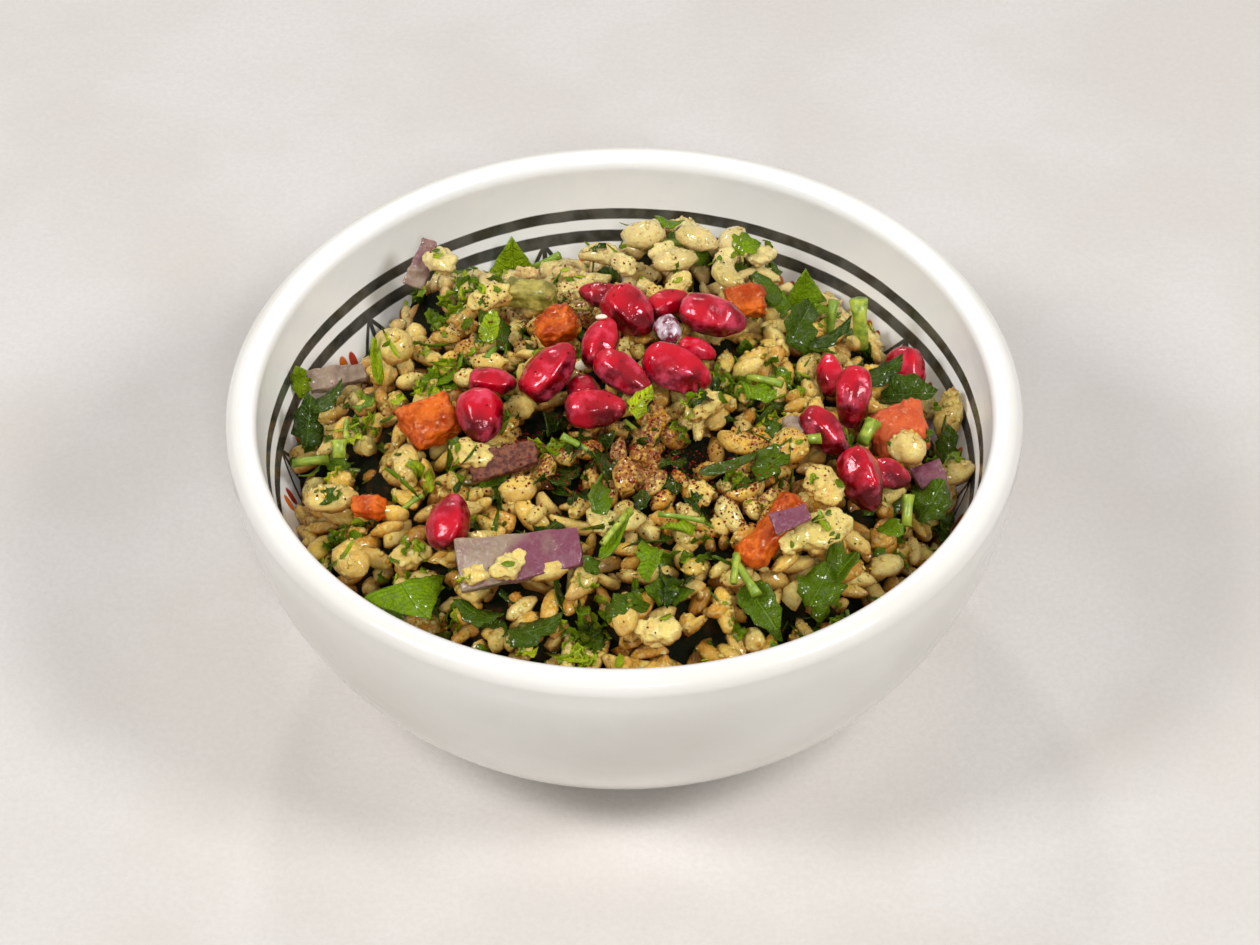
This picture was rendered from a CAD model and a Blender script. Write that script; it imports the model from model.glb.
"""Tabbouleh with pomegranate in its glazed bowl: the looks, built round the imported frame.

The order is the order of serving: camera and light, the bowl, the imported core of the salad, what
is worked into its top, and the arils, tomato and onion that lie on it.
"""

import math

import bpy
import numpy as np
from mathutils import Matrix, Vector, noise
from mathutils.bvhtree import BVHTree


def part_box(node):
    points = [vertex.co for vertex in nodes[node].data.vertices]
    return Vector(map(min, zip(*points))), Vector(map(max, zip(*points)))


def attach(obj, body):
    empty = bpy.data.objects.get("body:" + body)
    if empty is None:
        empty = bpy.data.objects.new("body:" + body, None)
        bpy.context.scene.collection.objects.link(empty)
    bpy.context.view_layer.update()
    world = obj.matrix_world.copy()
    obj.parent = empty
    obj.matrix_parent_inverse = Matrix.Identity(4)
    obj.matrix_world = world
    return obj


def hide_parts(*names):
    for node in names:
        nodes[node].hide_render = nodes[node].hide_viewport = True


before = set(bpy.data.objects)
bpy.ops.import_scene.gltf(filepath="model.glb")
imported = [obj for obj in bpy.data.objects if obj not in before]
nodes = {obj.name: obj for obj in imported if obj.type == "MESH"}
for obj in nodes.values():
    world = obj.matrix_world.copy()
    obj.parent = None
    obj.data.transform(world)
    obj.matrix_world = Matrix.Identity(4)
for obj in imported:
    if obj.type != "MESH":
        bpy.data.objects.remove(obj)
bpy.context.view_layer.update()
MM = 0.001


# --- Camera, floor and light -------------------------------------------------------------------
# A long lens looks down on the bowl from the front. The floor is one pale plain sheet. Two soft
# panels light it from the front left and right, two weak ones add gloss, and the room is pale.
LENS_MM = 114.05
LOOK_DOWN = 43.94  # degrees below the horizon
CAMERA_ROLL = -0.55
CAMERA_PLACE = (0.0009, -0.5136, 0.5358)
FLOOR_WIDTH = 6.0
FLOOR_GAP = 0.0002
LIGHT_COLOUR = (1.0, 0.995, 0.985)
LIT_PLACE = Vector((0, 0, 0.04))

camera_data = bpy.data.cameras.new("camera")
camera_data.lens = LENS_MM
camera_data.sensor_width = 36.0
camera_data.clip_start = 0.01
camera = bpy.data.objects.new("camera", camera_data)
bpy.context.scene.collection.objects.link(camera)
tilt = Matrix.Rotation(math.radians(90 - LOOK_DOWN), 4, "X")
roll = Matrix.Rotation(math.radians(CAMERA_ROLL), 4, "Z")
camera.matrix_world = Matrix.Translation(CAMERA_PLACE) @ tilt @ roll
bpy.context.scene.camera = camera
bpy.context.scene.view_settings.view_transform = "Standard"


def srgb(red, green, blue):
    """A colour given as 0 to 255 on screen, as the linear values that shaders take."""
    shares = [channel / 255 for channel in (red, green, blue)]
    linear = [s / 12.92 if s <= 0.04045 else ((s + 0.055) / 1.055) ** 2.4 for s in shares]
    return (*linear, 1.0)


def new_material(name):
    """(material, its node tree, its Principled BSDF)"""
    material = bpy.data.materials.new(name)
    material.use_nodes = True
    tree = material.node_tree
    return material, tree, tree.nodes["Principled BSDF"]


def feed(tree, socket, value):
    """Gives a socket a link if the value is a socket, and else a plain value."""
    if isinstance(value, bpy.types.NodeSocket):
        tree.links.new(value, socket)
    else:
        socket.default_value = value


def calc(tree, operation, *values):
    """A Math node's result."""
    node = tree.nodes.new("ShaderNodeMath")
    node.operation = operation
    for socket, value in zip(node.inputs, values):
        feed(tree, socket, value)
    return node.outputs[0]


def mix(tree, factor, first, second, blend="MIX"):
    """A colour between two."""
    node = tree.nodes.new("ShaderNodeMix")
    node.data_type = "RGBA"
    node.blend_type = blend
    feed(tree, node.inputs["Factor"], factor)
    feed(tree, node.inputs[6], first)
    feed(tree, node.inputs[7], second)
    return node.outputs[2]


def ramp(tree, value, low, high, bottom=0.0, top=1.0, kind="SMOOTHSTEP"):
    """Bottom where the value is under low, top where it is over high, and a slope between."""
    node = tree.nodes.new("ShaderNodeMapRange")
    node.interpolation_type = kind
    for socket, given_value in zip(node.inputs, (value, low, high, bottom, top)):
        feed(tree, socket, given_value)
    return node.outputs[0]


def place_of(tree):
    """Object coordinates, which are metres in the part's own frame."""
    return tree.nodes.new("ShaderNodeTexCoord").outputs["Object"]


def split(tree, vector):
    """A vector's three parts."""
    node = tree.nodes.new("ShaderNodeSeparateXYZ")
    tree.links.new(vector, node.inputs[0])
    return node.outputs


def how_far(tree, x, y):
    """How far it is to a place with this x and y."""
    squares = calc(tree, "ADD", calc(tree, "MULTIPLY", x, x), calc(tree, "MULTIPLY", y, y))
    return calc(tree, "SQRT", squares)


def set_up(tree, node, **values):
    """Gives a node's inputs their values or links. An underline stands for a space."""
    for label, value in values.items():
        feed(tree, node.inputs[label.replace("_", " ")], value)


def speckle(tree, size, detail=2.0, roughness=0.5):
    """Noise from 0 to 1 whose lumps are about this many metres across."""
    node = tree.nodes.new("ShaderNodeTexNoise")
    tree.links.new(place_of(tree), node.inputs["Vector"])
    set_up(tree, node, Scale=1 / size, Detail=detail, Roughness=roughness)
    return node.outputs["Fac"]


def bump(tree, shader, height, depth, onto="Normal"):
    """Relief on one of a shader's normals, this many metres deep."""
    node = tree.nodes.new("ShaderNodeBump")
    set_up(tree, node, Strength=1.0, Distance=depth, Height=height)
    tree.links.new(node.outputs["Normal"], shader.inputs[onto])


floor_paint, tree, shader = new_material("floor_paint")
mottle = ramp(tree, speckle(tree, 0.05, 4.0), 0.35, 0.65)
stone = mix(tree, mottle, srgb(206, 201, 196), srgb(213, 209, 206))
grain_marks = ramp(tree, speckle(tree, 0.0011, 3.0, 0.7), 0.3, 0.7, 0.0, 0.3)
stone = mix(tree, grain_marks, stone, srgb(192, 186, 180))
x, y, z = split(tree, place_of(tree))
reach = how_far(tree, x, y)
# Its paint is darker under the bowl, palest in a ring just outside the foot, and duller far out.
rising = ramp(tree, reach, 0.042, 0.05, 0.86, 1.2)
fading = ramp(tree, reach, 0.05, 0.07, 1.2, 1.03)
shade = calc(tree, "MINIMUM", rising, fading)
shade = calc(tree, "MULTIPLY", shade, ramp(tree, reach, 0.07, 0.11, 1.0, 0.9))
set_up(tree, shader, Base_Color=mix(tree, 1.0, stone, shade, "MULTIPLY"), Roughness=0.8)
bump(tree, shader, speckle(tree, 0.002), 0.0001)
bpy.ops.mesh.primitive_plane_add(size=FLOOR_WIDTH, location=(0, 0, -FLOOR_GAP))
floor = bpy.context.object
floor.name = "floor"
floor.data.materials.append(floor_paint)


def add_panel(name, width, place, power):
    """A square soft light that faces the bowl."""
    light = bpy.data.lights.new(name, "AREA")
    light.shape = "SQUARE"
    light.size = width
    light.energy = power
    light.color = LIGHT_COLOUR
    panel = bpy.data.objects.new(name, light)
    bpy.context.scene.collection.objects.link(panel)
    panel.location = place
    panel.rotation_euler = (LIT_PLACE - panel.location).to_track_quat("-Z", "Y").to_euler()


add_panel("left_panel", 0.3, (-0.8, -0.42, 1.0), 8.0)
add_panel("right_panel", 0.3, (0.8, -0.45, 1.0), 8.0)
add_panel("front_panel", 0.09, (0.1, -1.0, 0.9), 2.6)
add_panel("back_panel", 0.1, (-0.15, 0.8, 0.85), 1.9)
world = bpy.data.worlds.new("room")
world.use_nodes = True
room = world.node_tree
height = split(room, room.nodes.new("ShaderNodeTexCoord").outputs["Generated"])[2]
strength = ramp(room, height, 0.0, 0.7, 0.2, 0.6)
set_up(room, room.nodes["Background"], Color=(1.0, 0.99, 0.975, 1.0), Strength=strength)
bpy.context.scene.world = world


# --- Bowl --------------------------------------------------------------------------------------
# Thick hand-thrown earthenware under a glossy off-white glaze, with a full round lip. Its profile
# is drawn point by point and spun. Two rings, fans of three strokes and orange and red petals are
# brushed under the glaze inside the rim, and the foot's ring is left bare.
bowl_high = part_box("bowl")[1]
RIM_RADIUS = bowl_high[0]
RIM_HEIGHT = bowl_high[2]
LIP_ROUND = 2.77 * MM
BODY_RADIUS = RIM_RADIUS + 0.2 * MM
BODY_DEPTH = 64.9 * MM  # where the outer curve would end without a foot
CAVITY_RADIUS = 64.5 * MM
CAVITY_DEPTH = 52.5 * MM
CURVE_POWER = 2.12
FOOT_RADIUS = 34.0 * MM
FOOT_INNER_RADIUS = 29.5 * MM
FOOT_HEIGHT = 2.5 * MM
FOOT_RECESS = 2.0 * MM
SPIN_STEPS = 192
HAND_WOBBLE = 0.2 * MM


def bowl_curve(radius, depth, angle):
    """(radius, height) on a bowl-shaped curve: angle 0 is at the rim, 90 degrees at the axis."""
    across = radius * math.cos(angle) ** (2 / CURVE_POWER)
    down = depth * math.sin(angle) ** (2 / CURVE_POWER)
    return across, RIM_HEIGHT - down


def angle_at(below_rim, depth):
    """The angle at which that curve has come down this far."""
    return math.asin(min(below_rim / depth, 1.0) ** (CURVE_POWER / 2))


def arc_points(middle, radius, first, last, steps):
    """(radius, height) points on a round arc, in degrees from straight out."""
    turns = [math.radians(first + (last - first) * i / steps) for i in range(steps + 1)]
    return [(middle[0] + radius * math.cos(t), middle[1] + radius * math.sin(t)) for t in turns]


def bowl_profile():
    """(radius, height) from the middle of the underside, up the outside and down the inside."""
    foot_edge = 0.6 * MM
    foot = [(0.0, FOOT_RECESS), (FOOT_INNER_RADIUS * 0.5, FOOT_RECESS)]
    foot += [(FOOT_INNER_RADIUS - FOOT_RECESS, FOOT_RECESS)]
    foot += arc_points((FOOT_INNER_RADIUS + foot_edge, foot_edge), foot_edge, 200, 270, 3)
    foot += arc_points((FOOT_RADIUS - foot_edge, foot_edge), foot_edge, 270, 355, 4)
    foot_angle = angle_at(RIM_HEIGHT - FOOT_HEIGHT, BODY_DEPTH)
    under_lip = angle_at(2 * LIP_ROUND, BODY_DEPTH)
    outside = []
    for step in range(31):
        turn = foot_angle + (under_lip - foot_angle) * step / 30
        outside.append(bowl_curve(BODY_RADIUS, BODY_DEPTH, turn))
    lip = arc_points((RIM_RADIUS - LIP_ROUND, RIM_HEIGHT - LIP_ROUND), LIP_ROUND, -15, 185, 18)
    wall_angle = angle_at(2 * LIP_ROUND, CAVITY_DEPTH)
    inside = []
    for step in range(29):
        turn = wall_angle + (math.radians(90) - wall_angle) * step / 28
        inside.append(bowl_curve(CAVITY_RADIUS, CAVITY_DEPTH, turn))
    inside[-1] = (0.0, RIM_HEIGHT - CAVITY_DEPTH)
    return foot + outside + lip + inside


def start_primitive(add, name, **values):
    """Deselects everything, adds a primitive and returns it, in object mode."""
    if bpy.context.mode != "OBJECT":
        bpy.ops.object.mode_set(mode="OBJECT")
    bpy.ops.object.select_all(action="DESELECT")
    add(**values)
    piece = bpy.context.object
    piece.name = name
    piece.data.name = name
    return piece


profile = bowl_profile()
bowl = start_primitive(bpy.ops.mesh.primitive_plane_add, "bowl_glazed", size=MM)
bpy.ops.object.mode_set(mode="EDIT")
bpy.ops.mesh.select_all(action="SELECT")
bpy.ops.mesh.merge(type="CENTER")
bpy.ops.transform.translate(value=(profile[0][0], 0, profile[0][1]))
for here, there in zip(profile, profile[1:]):
    step = (there[0] - here[0], 0, there[1] - here[1])
    bpy.ops.mesh.extrude_region_move(TRANSFORM_OT_translate={"value": step})
bpy.ops.mesh.select_all(action="SELECT")
bpy.ops.mesh.spin(steps=SPIN_STEPS, angle=math.tau, center=(0, 0, 0), axis=(0, 0, 1))
bpy.ops.mesh.select_all(action="SELECT")
bpy.ops.mesh.remove_doubles(threshold=0.00001)
bpy.ops.mesh.normals_make_consistent(inside=False)
bpy.ops.object.mode_set(mode="OBJECT")
bpy.ops.object.shade_smooth()


def push_out(piece, distance):
    """Moves each point along its normal by the distance that a function gives for its place."""
    normals = [vert.normal.copy() for vert in piece.data.vertices]
    for vert, normal in zip(piece.data.vertices, normals):
        vert.co += normal * distance(vert.co)
    piece.data.update()


def hand_wobble(place):
    """The unevenness of a hand-thrown wall. The foot stands true."""
    above_foot = min(1.0, max(0.0, (place.z - FOOT_HEIGHT) / FOOT_HEIGHT))
    return HAND_WOBBLE * noise.noise(place / (38 * MM)) * above_foot


push_out(bowl, hand_wobble)

indoors = bowl.data.attributes.new("indoors", "FLOAT", "POINT")
for vert, mark in zip(bowl.data.vertices, indoors.data):
    facing_in = vert.normal.x * vert.co.x + vert.normal.y * vert.co.y < 0
    mark.value = float(facing_in and vert.co.z > RIM_HEIGHT / 2)


def attribute(tree, name):
    """A value that is stored with the mesh's points."""
    node = tree.nodes.new("ShaderNodeAttribute")
    node.attribute_name = name
    return node.outputs["Fac"]


glaze, tree, shader = new_material("bowl_glaze")
x, y, z = split(tree, place_of(tree))
outward = how_far(tree, x, y)
brush_sway = calc(tree, "MULTIPLY", calc(tree, "SUBTRACT", speckle(tree, 0.02, 3.0), 0.5), 1.1 * MM)
below_rim = calc(tree, "ADD", calc(tree, "SUBTRACT", RIM_HEIGHT, z), brush_sway)
indoors = attribute(tree, "indoors")


def band(value, low, high, soft):
    """1 between low and high, with soft edges."""
    rising = ramp(tree, value, low - soft, low + soft)
    falling = ramp(tree, value, high - soft, high + soft, 1.0, 0.0)
    return calc(tree, "MULTIPLY", rising, falling)


EDGE = 0.14 * MM
upper_ring = band(below_rim, 10.9 * MM, 13.1 * MM, EDGE)
lower_ring = band(below_rim, 15.2 * MM, 17.5 * MM, EDGE)
# The motif repeats round the wall. Along is the way round from its middle, down the way below
# the lower ring.
MOTIFS = 10
MOTIF_TURN = math.radians(32)
azimuth = calc(tree, "ARCTAN2", y, x)
turn_on = calc(tree, "SUBTRACT", azimuth, MOTIF_TURN)
pitch = math.tau / MOTIFS
within = calc(tree, "FLOORED_MODULO", calc(tree, "ADD", turn_on, pitch / 2), pitch)
within = calc(tree, "SUBTRACT", within, pitch / 2)
along = calc(tree, "ADD", calc(tree, "MULTIPLY", within, outward), brush_sway)
down = calc(tree, "SUBTRACT", below_rim, 17.0 * MM)
strokes = 0.0
for lean in (-0.62, 0.04, 0.66):
    off = calc(tree, "ABSOLUTE", calc(tree, "SUBTRACT", along, calc(tree, "MULTIPLY", down, lean)))
    stroke = ramp(tree, off, 0.34 * MM, 0.58 * MM, 1.0, 0.0)
    strokes = calc(tree, "MAXIMUM", strokes, stroke)
strokes = calc(tree, "MULTIPLY", strokes, band(down, 0.0, 8.0 * MM, 0.5 * MM))


def petal(at, under, half_width, half_height):
    """A brushed dot, taller than wide."""
    across = calc(tree, "DIVIDE", calc(tree, "SUBTRACT", along, at), half_width)
    upright = calc(tree, "DIVIDE", calc(tree, "SUBTRACT", down, under), half_height)
    squares = calc(tree, "ADD", calc(tree, "POWER", across, 2.0), calc(tree, "POWER", upright, 2.0))
    return ramp(tree, squares, 0.75, 1.15, 1.0, 0.0)


left_orange = petal(-7.4 * MM, 4.0 * MM, 1.2 * MM, 2.0 * MM)
right_orange = petal(9.6 * MM, 3.7 * MM, 1.1 * MM, 1.8 * MM)
left_red = petal(-10.2 * MM, 4.2 * MM, 1.0 * MM, 1.9 * MM)
right_red = petal(7.0 * MM, 4.4 * MM, 1.0 * MM, 1.9 * MM)
orange = calc(tree, "MAXIMUM", left_orange, right_orange)
red = calc(tree, "MAXIMUM", left_red, right_red)
black = calc(tree, "MAXIMUM", calc(tree, "MAXIMUM", upper_ring, lower_ring), strokes)
black = calc(tree, "MULTIPLY", black, indoors)
brush_load = ramp(tree, speckle(tree, 0.004, 4.0), 0.3, 0.7, 0.93, 1.0)
clouds = ramp(tree, speckle(tree, 0.03, 3.0), 0.35, 0.7)
cream = mix(tree, clouds, srgb(232, 230, 225), srgb(226, 223, 216))
greyer = ramp(tree, z, 8 * MM, 46 * MM, 1.0, 0.84)
greyer = calc(tree, "ADD", greyer, ramp(tree, z, 46 * MM, 62 * MM, 0.0, 0.1))
to_the_side = ramp(tree, calc(tree, "ABSOLUTE", x), 30 * MM, 60 * MM)
inside = mix(tree, to_the_side, srgb(232, 232, 230), srgb(253, 253, 251))
cream = mix(tree, indoors, mix(tree, 1.0, cream, greyer, "MULTIPLY"), inside)
ink = mix(tree, speckle(tree, 0.003, 2.0), srgb(38, 37, 30), srgb(62, 60, 50))
paint = mix(tree, calc(tree, "MULTIPLY", orange, indoors), cream, srgb(214, 112, 38))
paint = mix(tree, calc(tree, "MULTIPLY", red, indoors), paint, srgb(178, 52, 34))
paint = mix(tree, calc(tree, "MULTIPLY", black, brush_load), paint, ink)
bare = ramp(tree, z, 0.5 * MM, 0.8 * MM, 1.0, 0.0)
clay = mix(tree, speckle(tree, 0.001), srgb(196, 170, 140), srgb(176, 148, 118))
set_up(
    tree, shader,
    Base_Color=mix(tree, bare, paint, clay),
    Roughness=ramp(tree, z, 0.5 * MM, 0.8 * MM, 0.85, 0.16), IOR=1.5,
)
bump(tree, shader, speckle(tree, 0.006, 2.0), 0.00012)
bowl.data.materials.append(glaze)
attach(bowl, "root")
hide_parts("bowl")


# --- Packed core -------------------------------------------------------------------------------
# Under the loose top the salad is a damp, packed mass of mashed grain and herb. It is one closed
# lump: its top follows the heap a few millimetres down, and the rest follows the bowl's wall. The
# heap's own surface is read from the frame once, as a map of heights in millimetres.
CORE_DEPTH = 5.4
CORE_RELIEF = 1.1
CORE_WALL_GAP = 0.9
CORE_EDGE = 58
HEAP_REACH = 66
WALL_RADIUS = CAVITY_RADIUS / MM
WALL_DEPTH = CAVITY_DEPTH / MM
RIM = RIM_HEIGHT / MM

salad_mesh = nodes["salad"].data
salad_points = [vert.co.copy() for vert in salad_mesh.vertices]
salad_tree = BVHTree.FromPolygons(salad_points, [list(face.vertices) for face in salad_mesh.polygons])
ticks = np.arange(-HEAP_REACH, HEAP_REACH + 1)
heap_map = np.full((len(ticks), len(ticks)), np.nan)
for row, tick_y in enumerate(ticks):
    for column, tick_x in enumerate(ticks):
        hit = salad_tree.ray_cast(Vector((tick_x, tick_y, 100)) * MM, Vector((0, 0, -1)))[0]
        if hit is not None and hit.z > 35 * MM:
            heap_map[row, column] = hit.z / MM


def spread_outwards(field):
    """Fills the unknown cells of a map from their known neighbours, ring by ring."""
    while np.isnan(field).any():
        padded = np.pad(field, 1, constant_values=np.nan)
        rows, columns = field.shape
        around = np.stack([padded[a : a + rows, b : b + columns] for a in range(3) for b in range(3)])
        known = ~np.isnan(around)
        counts = known.sum(axis=0)
        sums = np.where(known, around, 0).sum(axis=0)
        fresh = np.isnan(field) & (counts > 0)
        field[fresh] = sums[fresh] / counts[fresh]
    return field


def blurred(field, passes):
    """A map whose cells are averaged with their neighbours, this many times."""
    for _ in range(passes):
        padded = np.pad(field, 1, mode="edge")
        field = (padded[:-2, 1:-1] + padded[2:, 1:-1] + padded[1:-1, :-2] + padded[1:-1, 2:] + field) / 5
    return field


# The salad lies lower along the wall, most of all in three hollows, and is heaped against it at
# the back: (degrees round, depth in mm).
WALL_HOLLOWS = ((146, 6.0), (108, 5.0), (36, 3.5), (77, -4.6))


def wall_drop(x, y):
    """How many millimetres the loose top lies under the heap's surface here."""
    near_wall = min(1.0, max(0.0, (math.hypot(x, y) - 48) / 11))
    turn = math.degrees(math.atan2(y, x))
    hollows = sum(depth * math.exp(-(((turn - at) / 11) ** 2)) for at, depth in WALL_HOLLOWS)
    return near_wall**2 * (1.6 + hollows)


heap_map = spread_outwards(heap_map)
heap_map -= np.array([[wall_drop(x, y) for x in ticks] for y in ticks])
smooth_map = blurred(heap_map, 12)


def read_map(field, x, y):
    """The map's value between its cells, for places in millimetres."""
    u = np.clip(np.asarray(x, float) + HEAP_REACH, 0, 2 * HEAP_REACH - 0.001)
    v = np.clip(np.asarray(y, float) + HEAP_REACH, 0, 2 * HEAP_REACH - 0.001)
    column, row = u.astype(int), v.astype(int)
    u, v = u - column, v - row
    below = field[row, column] * (1 - u) + field[row, column + 1] * u
    above = field[row + 1, column] * (1 - u) + field[row + 1, column + 1] * u
    return below * (1 - v) + above * v


def heap_top(x, y):
    """The height of the loose top, in millimetres."""
    return read_map(heap_map, x, y)


def heap_normal(x, y):
    """The way up from the heap's smoothed surface."""
    slope_x = read_map(smooth_map, x + 1, y) - read_map(smooth_map, x - 1, y)
    slope_y = read_map(smooth_map, x, y + 1) - read_map(smooth_map, x, y - 1)
    return Vector((-slope_x / 2, -slope_y / 2, 1)).normalized()


def wall_radius(z):
    """The cavity's radius at a height, both in millimetres."""
    share = np.clip((RIM - z) / WALL_DEPTH, 0, 0.999)
    return WALL_RADIUS * (1 - share**CURVE_POWER) ** (1 / CURVE_POWER)


core = start_primitive(
    bpy.ops.mesh.primitive_uv_sphere_add, "packed_core", segments=150, ring_count=88, radius=1.0
)
bottom = RIM - WALL_DEPTH + CORE_WALL_GAP
for vert in core.data.vertices:
    turn = math.atan2(vert.co.y, vert.co.x)
    fall = math.acos(max(-1.0, min(1.0, vert.co.z))) / (math.pi / 2)
    edge_height = float(heap_top(CORE_EDGE * math.cos(turn), CORE_EDGE * math.sin(turn))) - CORE_DEPTH
    if fall <= 1:
        out = fall * (float(wall_radius(edge_height)) - CORE_WALL_GAP)
        at = Vector((out * math.cos(turn), out * math.sin(turn), 0))
        relief = noise.fractal(at / 3.2, 0.8, 2.1, 3)
        at.z = float(heap_top(at.x, at.y)) - CORE_DEPTH + CORE_RELIEF * relief * min(1, 9 - 8.5 * fall)
    else:
        level = bottom + (edge_height - bottom) * (2 - fall) ** 2
        out = (float(wall_radius(level)) - CORE_WALL_GAP) * min(1.0, (2 - fall) * 6)
        at = Vector((out * math.cos(turn), out * math.sin(turn), level))
    vert.co = at * MM
bpy.ops.object.shade_smooth()

packed, tree, shader = new_material("packed_salad")
mashed = ramp(tree, speckle(tree, 0.0035, 5.0, 0.65), 0.52, 0.66)
herby = mix(tree, speckle(tree, 0.0016, 3.0), srgb(9, 10, 3), srgb(24, 30, 7))
mash = mix(tree, speckle(tree, 0.0012, 4.0), srgb(28, 15, 5), srgb(70, 42, 15))
set_up(
    tree, shader,
    Base_Color=mix(tree, mashed, herby, mash), Roughness=0.5, Specular_IOR_Level=0.1,
)
bump(tree, shader, speckle(tree, 0.0012, 6.0, 0.7), 0.0009)
core.data.materials.append(packed)
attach(core, "root")
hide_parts("salad")


# --- Grains ------------------------------------------------------------------------------------
# Cooked pearl barley, swollen, moist and creased along one side, with some grains burst, broken
# or stuck in crumbling clumps. Each kind is shaped once. The loose top layer is then settled:
# grains are pushed apart, off the wall and off the fruit, and kept under the heap's surface.
GRAIN_COUNT = 1150
GRAIN_LAYER = 6.2
GRAIN_LENGTHS = (5.4, 8.6)
GRAIN_WIDTHS = (2.6, 3.8)
PROUD_OF_HEAP = 0.8
LUMPINESS = 1.7
SETTLING_ROUNDS = 60
CLUMP_COUNT = 32
CRUMB_COUNT = 1900
DROP_HEIGHT = 90
# Where herbs crowd the grains out of the top: x, y and radius in mm, chosen by hand.
HERB_PATCHES = (
    (-32, 33, 6), (-21, 52, 4), (-46, 14, 4), (-33, 12, 5), (-55, 6, 5), (-48, -3, 3),
    (-49, -21, 4), (-37, -38, 6), (-27, -45, 4), (-16, -50, 4), (-6, -45, 5), (-4, -33, 5),
    (4, -39, 4), (22, -44, 4), (33, -41, 6), (17, -20, 3), (25, -17, 4), (24, 0, 5),
    (19, 5, 3), (33, 32, 5), (33, 21, 5), (38, 17, 4), (50, 9, 4), (46, -25, 3),
    (54, -15, 4), (58, 2, 3), (9, 46, 2), (23, 44, 2), (-14, -10, 4), (-8, -21, 4),
    (2, -8, 2), (-37, -17, 2), (13, -26, 2), (40, -5, 3), (29, -12, 3), (13, -8, 3),
    (-41, -29, 2), (44, 27, 3), (-26, 20, 3),
)


def pick(piece, chosen):
    """Enters edit mode with only those vertices selected whose place passes a test."""
    bpy.ops.object.mode_set(mode="OBJECT")
    data = piece.data
    data.edges.foreach_set("select", [False] * len(data.edges))
    data.polygons.foreach_set("select", [False] * len(data.polygons))
    data.vertices.foreach_set("select", [bool(chosen(vert.co)) for vert in data.vertices])
    bpy.ops.object.mode_set(mode="EDIT")
    bpy.ops.mesh.select_mode(type="VERT")


def nudge(piece, chosen, move):
    """Moves those vertices by this many millimetres."""
    pick(piece, chosen)
    bpy.ops.transform.translate(value=[side * MM for side in move])


def start_grain(name, length, width, thickness):
    """An oval that lies along X, in edit mode. The crease side is up."""
    grain = start_primitive(
        bpy.ops.mesh.primitive_uv_sphere_add, name,
        segments=10, ring_count=8, radius=0.5, rotation=(0, math.pi / 2, 0),
    )
    bpy.ops.object.transform_apply(rotation=True)
    bpy.ops.object.mode_set(mode="EDIT")
    bpy.ops.mesh.select_all(action="SELECT")
    bpy.ops.transform.resize(value=(length * MM, width * MM, thickness * MM))
    return grain


def finish_shape(piece, roughness=0.0, seed=0):
    """Roughens a shape a little, and takes its points in mm, its faces and its flat pattern."""
    bpy.ops.object.mode_set(mode="EDIT")
    bpy.ops.mesh.select_all(action="SELECT")
    if roughness:
        bpy.ops.transform.vertex_random(offset=roughness * MM, uniform=1.0, normal=0.0, seed=seed)
    bpy.ops.mesh.normals_make_consistent(inside=False)
    bpy.ops.object.mode_set(mode="OBJECT")
    data = piece.data
    points = np.array([vert.co[:] for vert in data.vertices]) / MM
    faces = [list(face.vertices) for face in data.polygons]
    pattern = None
    if data.uv_layers:
        pattern = np.array([loop.uv[:] for loop in data.uv_layers.active.data])
    shape = {"points": points, "faces": faces, "pattern": pattern}
    bpy.data.objects.remove(piece, do_unlink=True)
    bpy.data.meshes.remove(data)
    return shape


whole = start_grain("whole_grain", 8, 4.2, 3.8)
nudge(whole, lambda co: co.z > 0 and abs(co.y) < 0.3 * MM and abs(co.x) < 3.9 * MM, (0, 0, -0.75))
pick(whole, lambda co: co.x > 2 * MM)
bpy.ops.transform.resize(value=(1, 0.84, 0.84), center_override=(0, 0, 0))
whole = finish_shape(whole, 0.12, 1)

plump = start_grain("plump_grain", 7.4, 4.8, 4.2)
nudge(plump, lambda co: co.z > 0 and abs(co.y) < 0.3 * MM and abs(co.x) < 3.6 * MM, (0, 0, -1.15))
nudge(plump, lambda co: co.x < -1.5 * MM and co.y > 0, (-0.4, 0.35, 0.2))
plump = finish_shape(plump, 0.16, 2)

bent = start_grain("bent_grain", 8.6, 3.9, 3.7)
nudge(bent, lambda co: abs(co.x) > 1.9 * MM, (0, 0.55, -0.2))
nudge(bent, lambda co: abs(co.x) > 3.3 * MM, (0, 0.6, -0.2))
nudge(
    bent, lambda co: co.z > 0 and abs(co.y - 0.3 * MM) < 0.5 * MM and abs(co.x) < 3 * MM,
    (0, 0, -0.5),
)
bent = finish_shape(bent, 0.14, 3)

burst = start_grain("burst_grain", 7.8, 4.5, 3.9)
nudge(burst, lambda co: co.z > 0 and abs(co.y) < 0.3 * MM, (0, 0, -1.6))
pick(burst, lambda co: co.z > 0.5 * MM and abs(co.y) > 0.8 * MM and co.x > -1 * MM)
bpy.ops.transform.resize(value=(1.1, 1.32, 1.18), center_override=(0, 0, 0))
nudge(burst, lambda co: co.x > 2.8 * MM, (-0.7, 0, 0.5))
burst = finish_shape(burst, 0.22, 4)

broken = start_grain("broken_grain", 8.2, 4.2, 3.9)
bpy.ops.mesh.bisect(
    plane_co=(0.9 * MM, 0, 0), plane_no=(1, 0.25, 0.3), use_fill=True, clear_outer=True
)
nudge(broken, lambda co: co.z > 0 and abs(co.y) < 0.3 * MM and co.x < 0, (0, 0, -0.8))
broken = finish_shape(broken, 0.2, 5)

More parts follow.
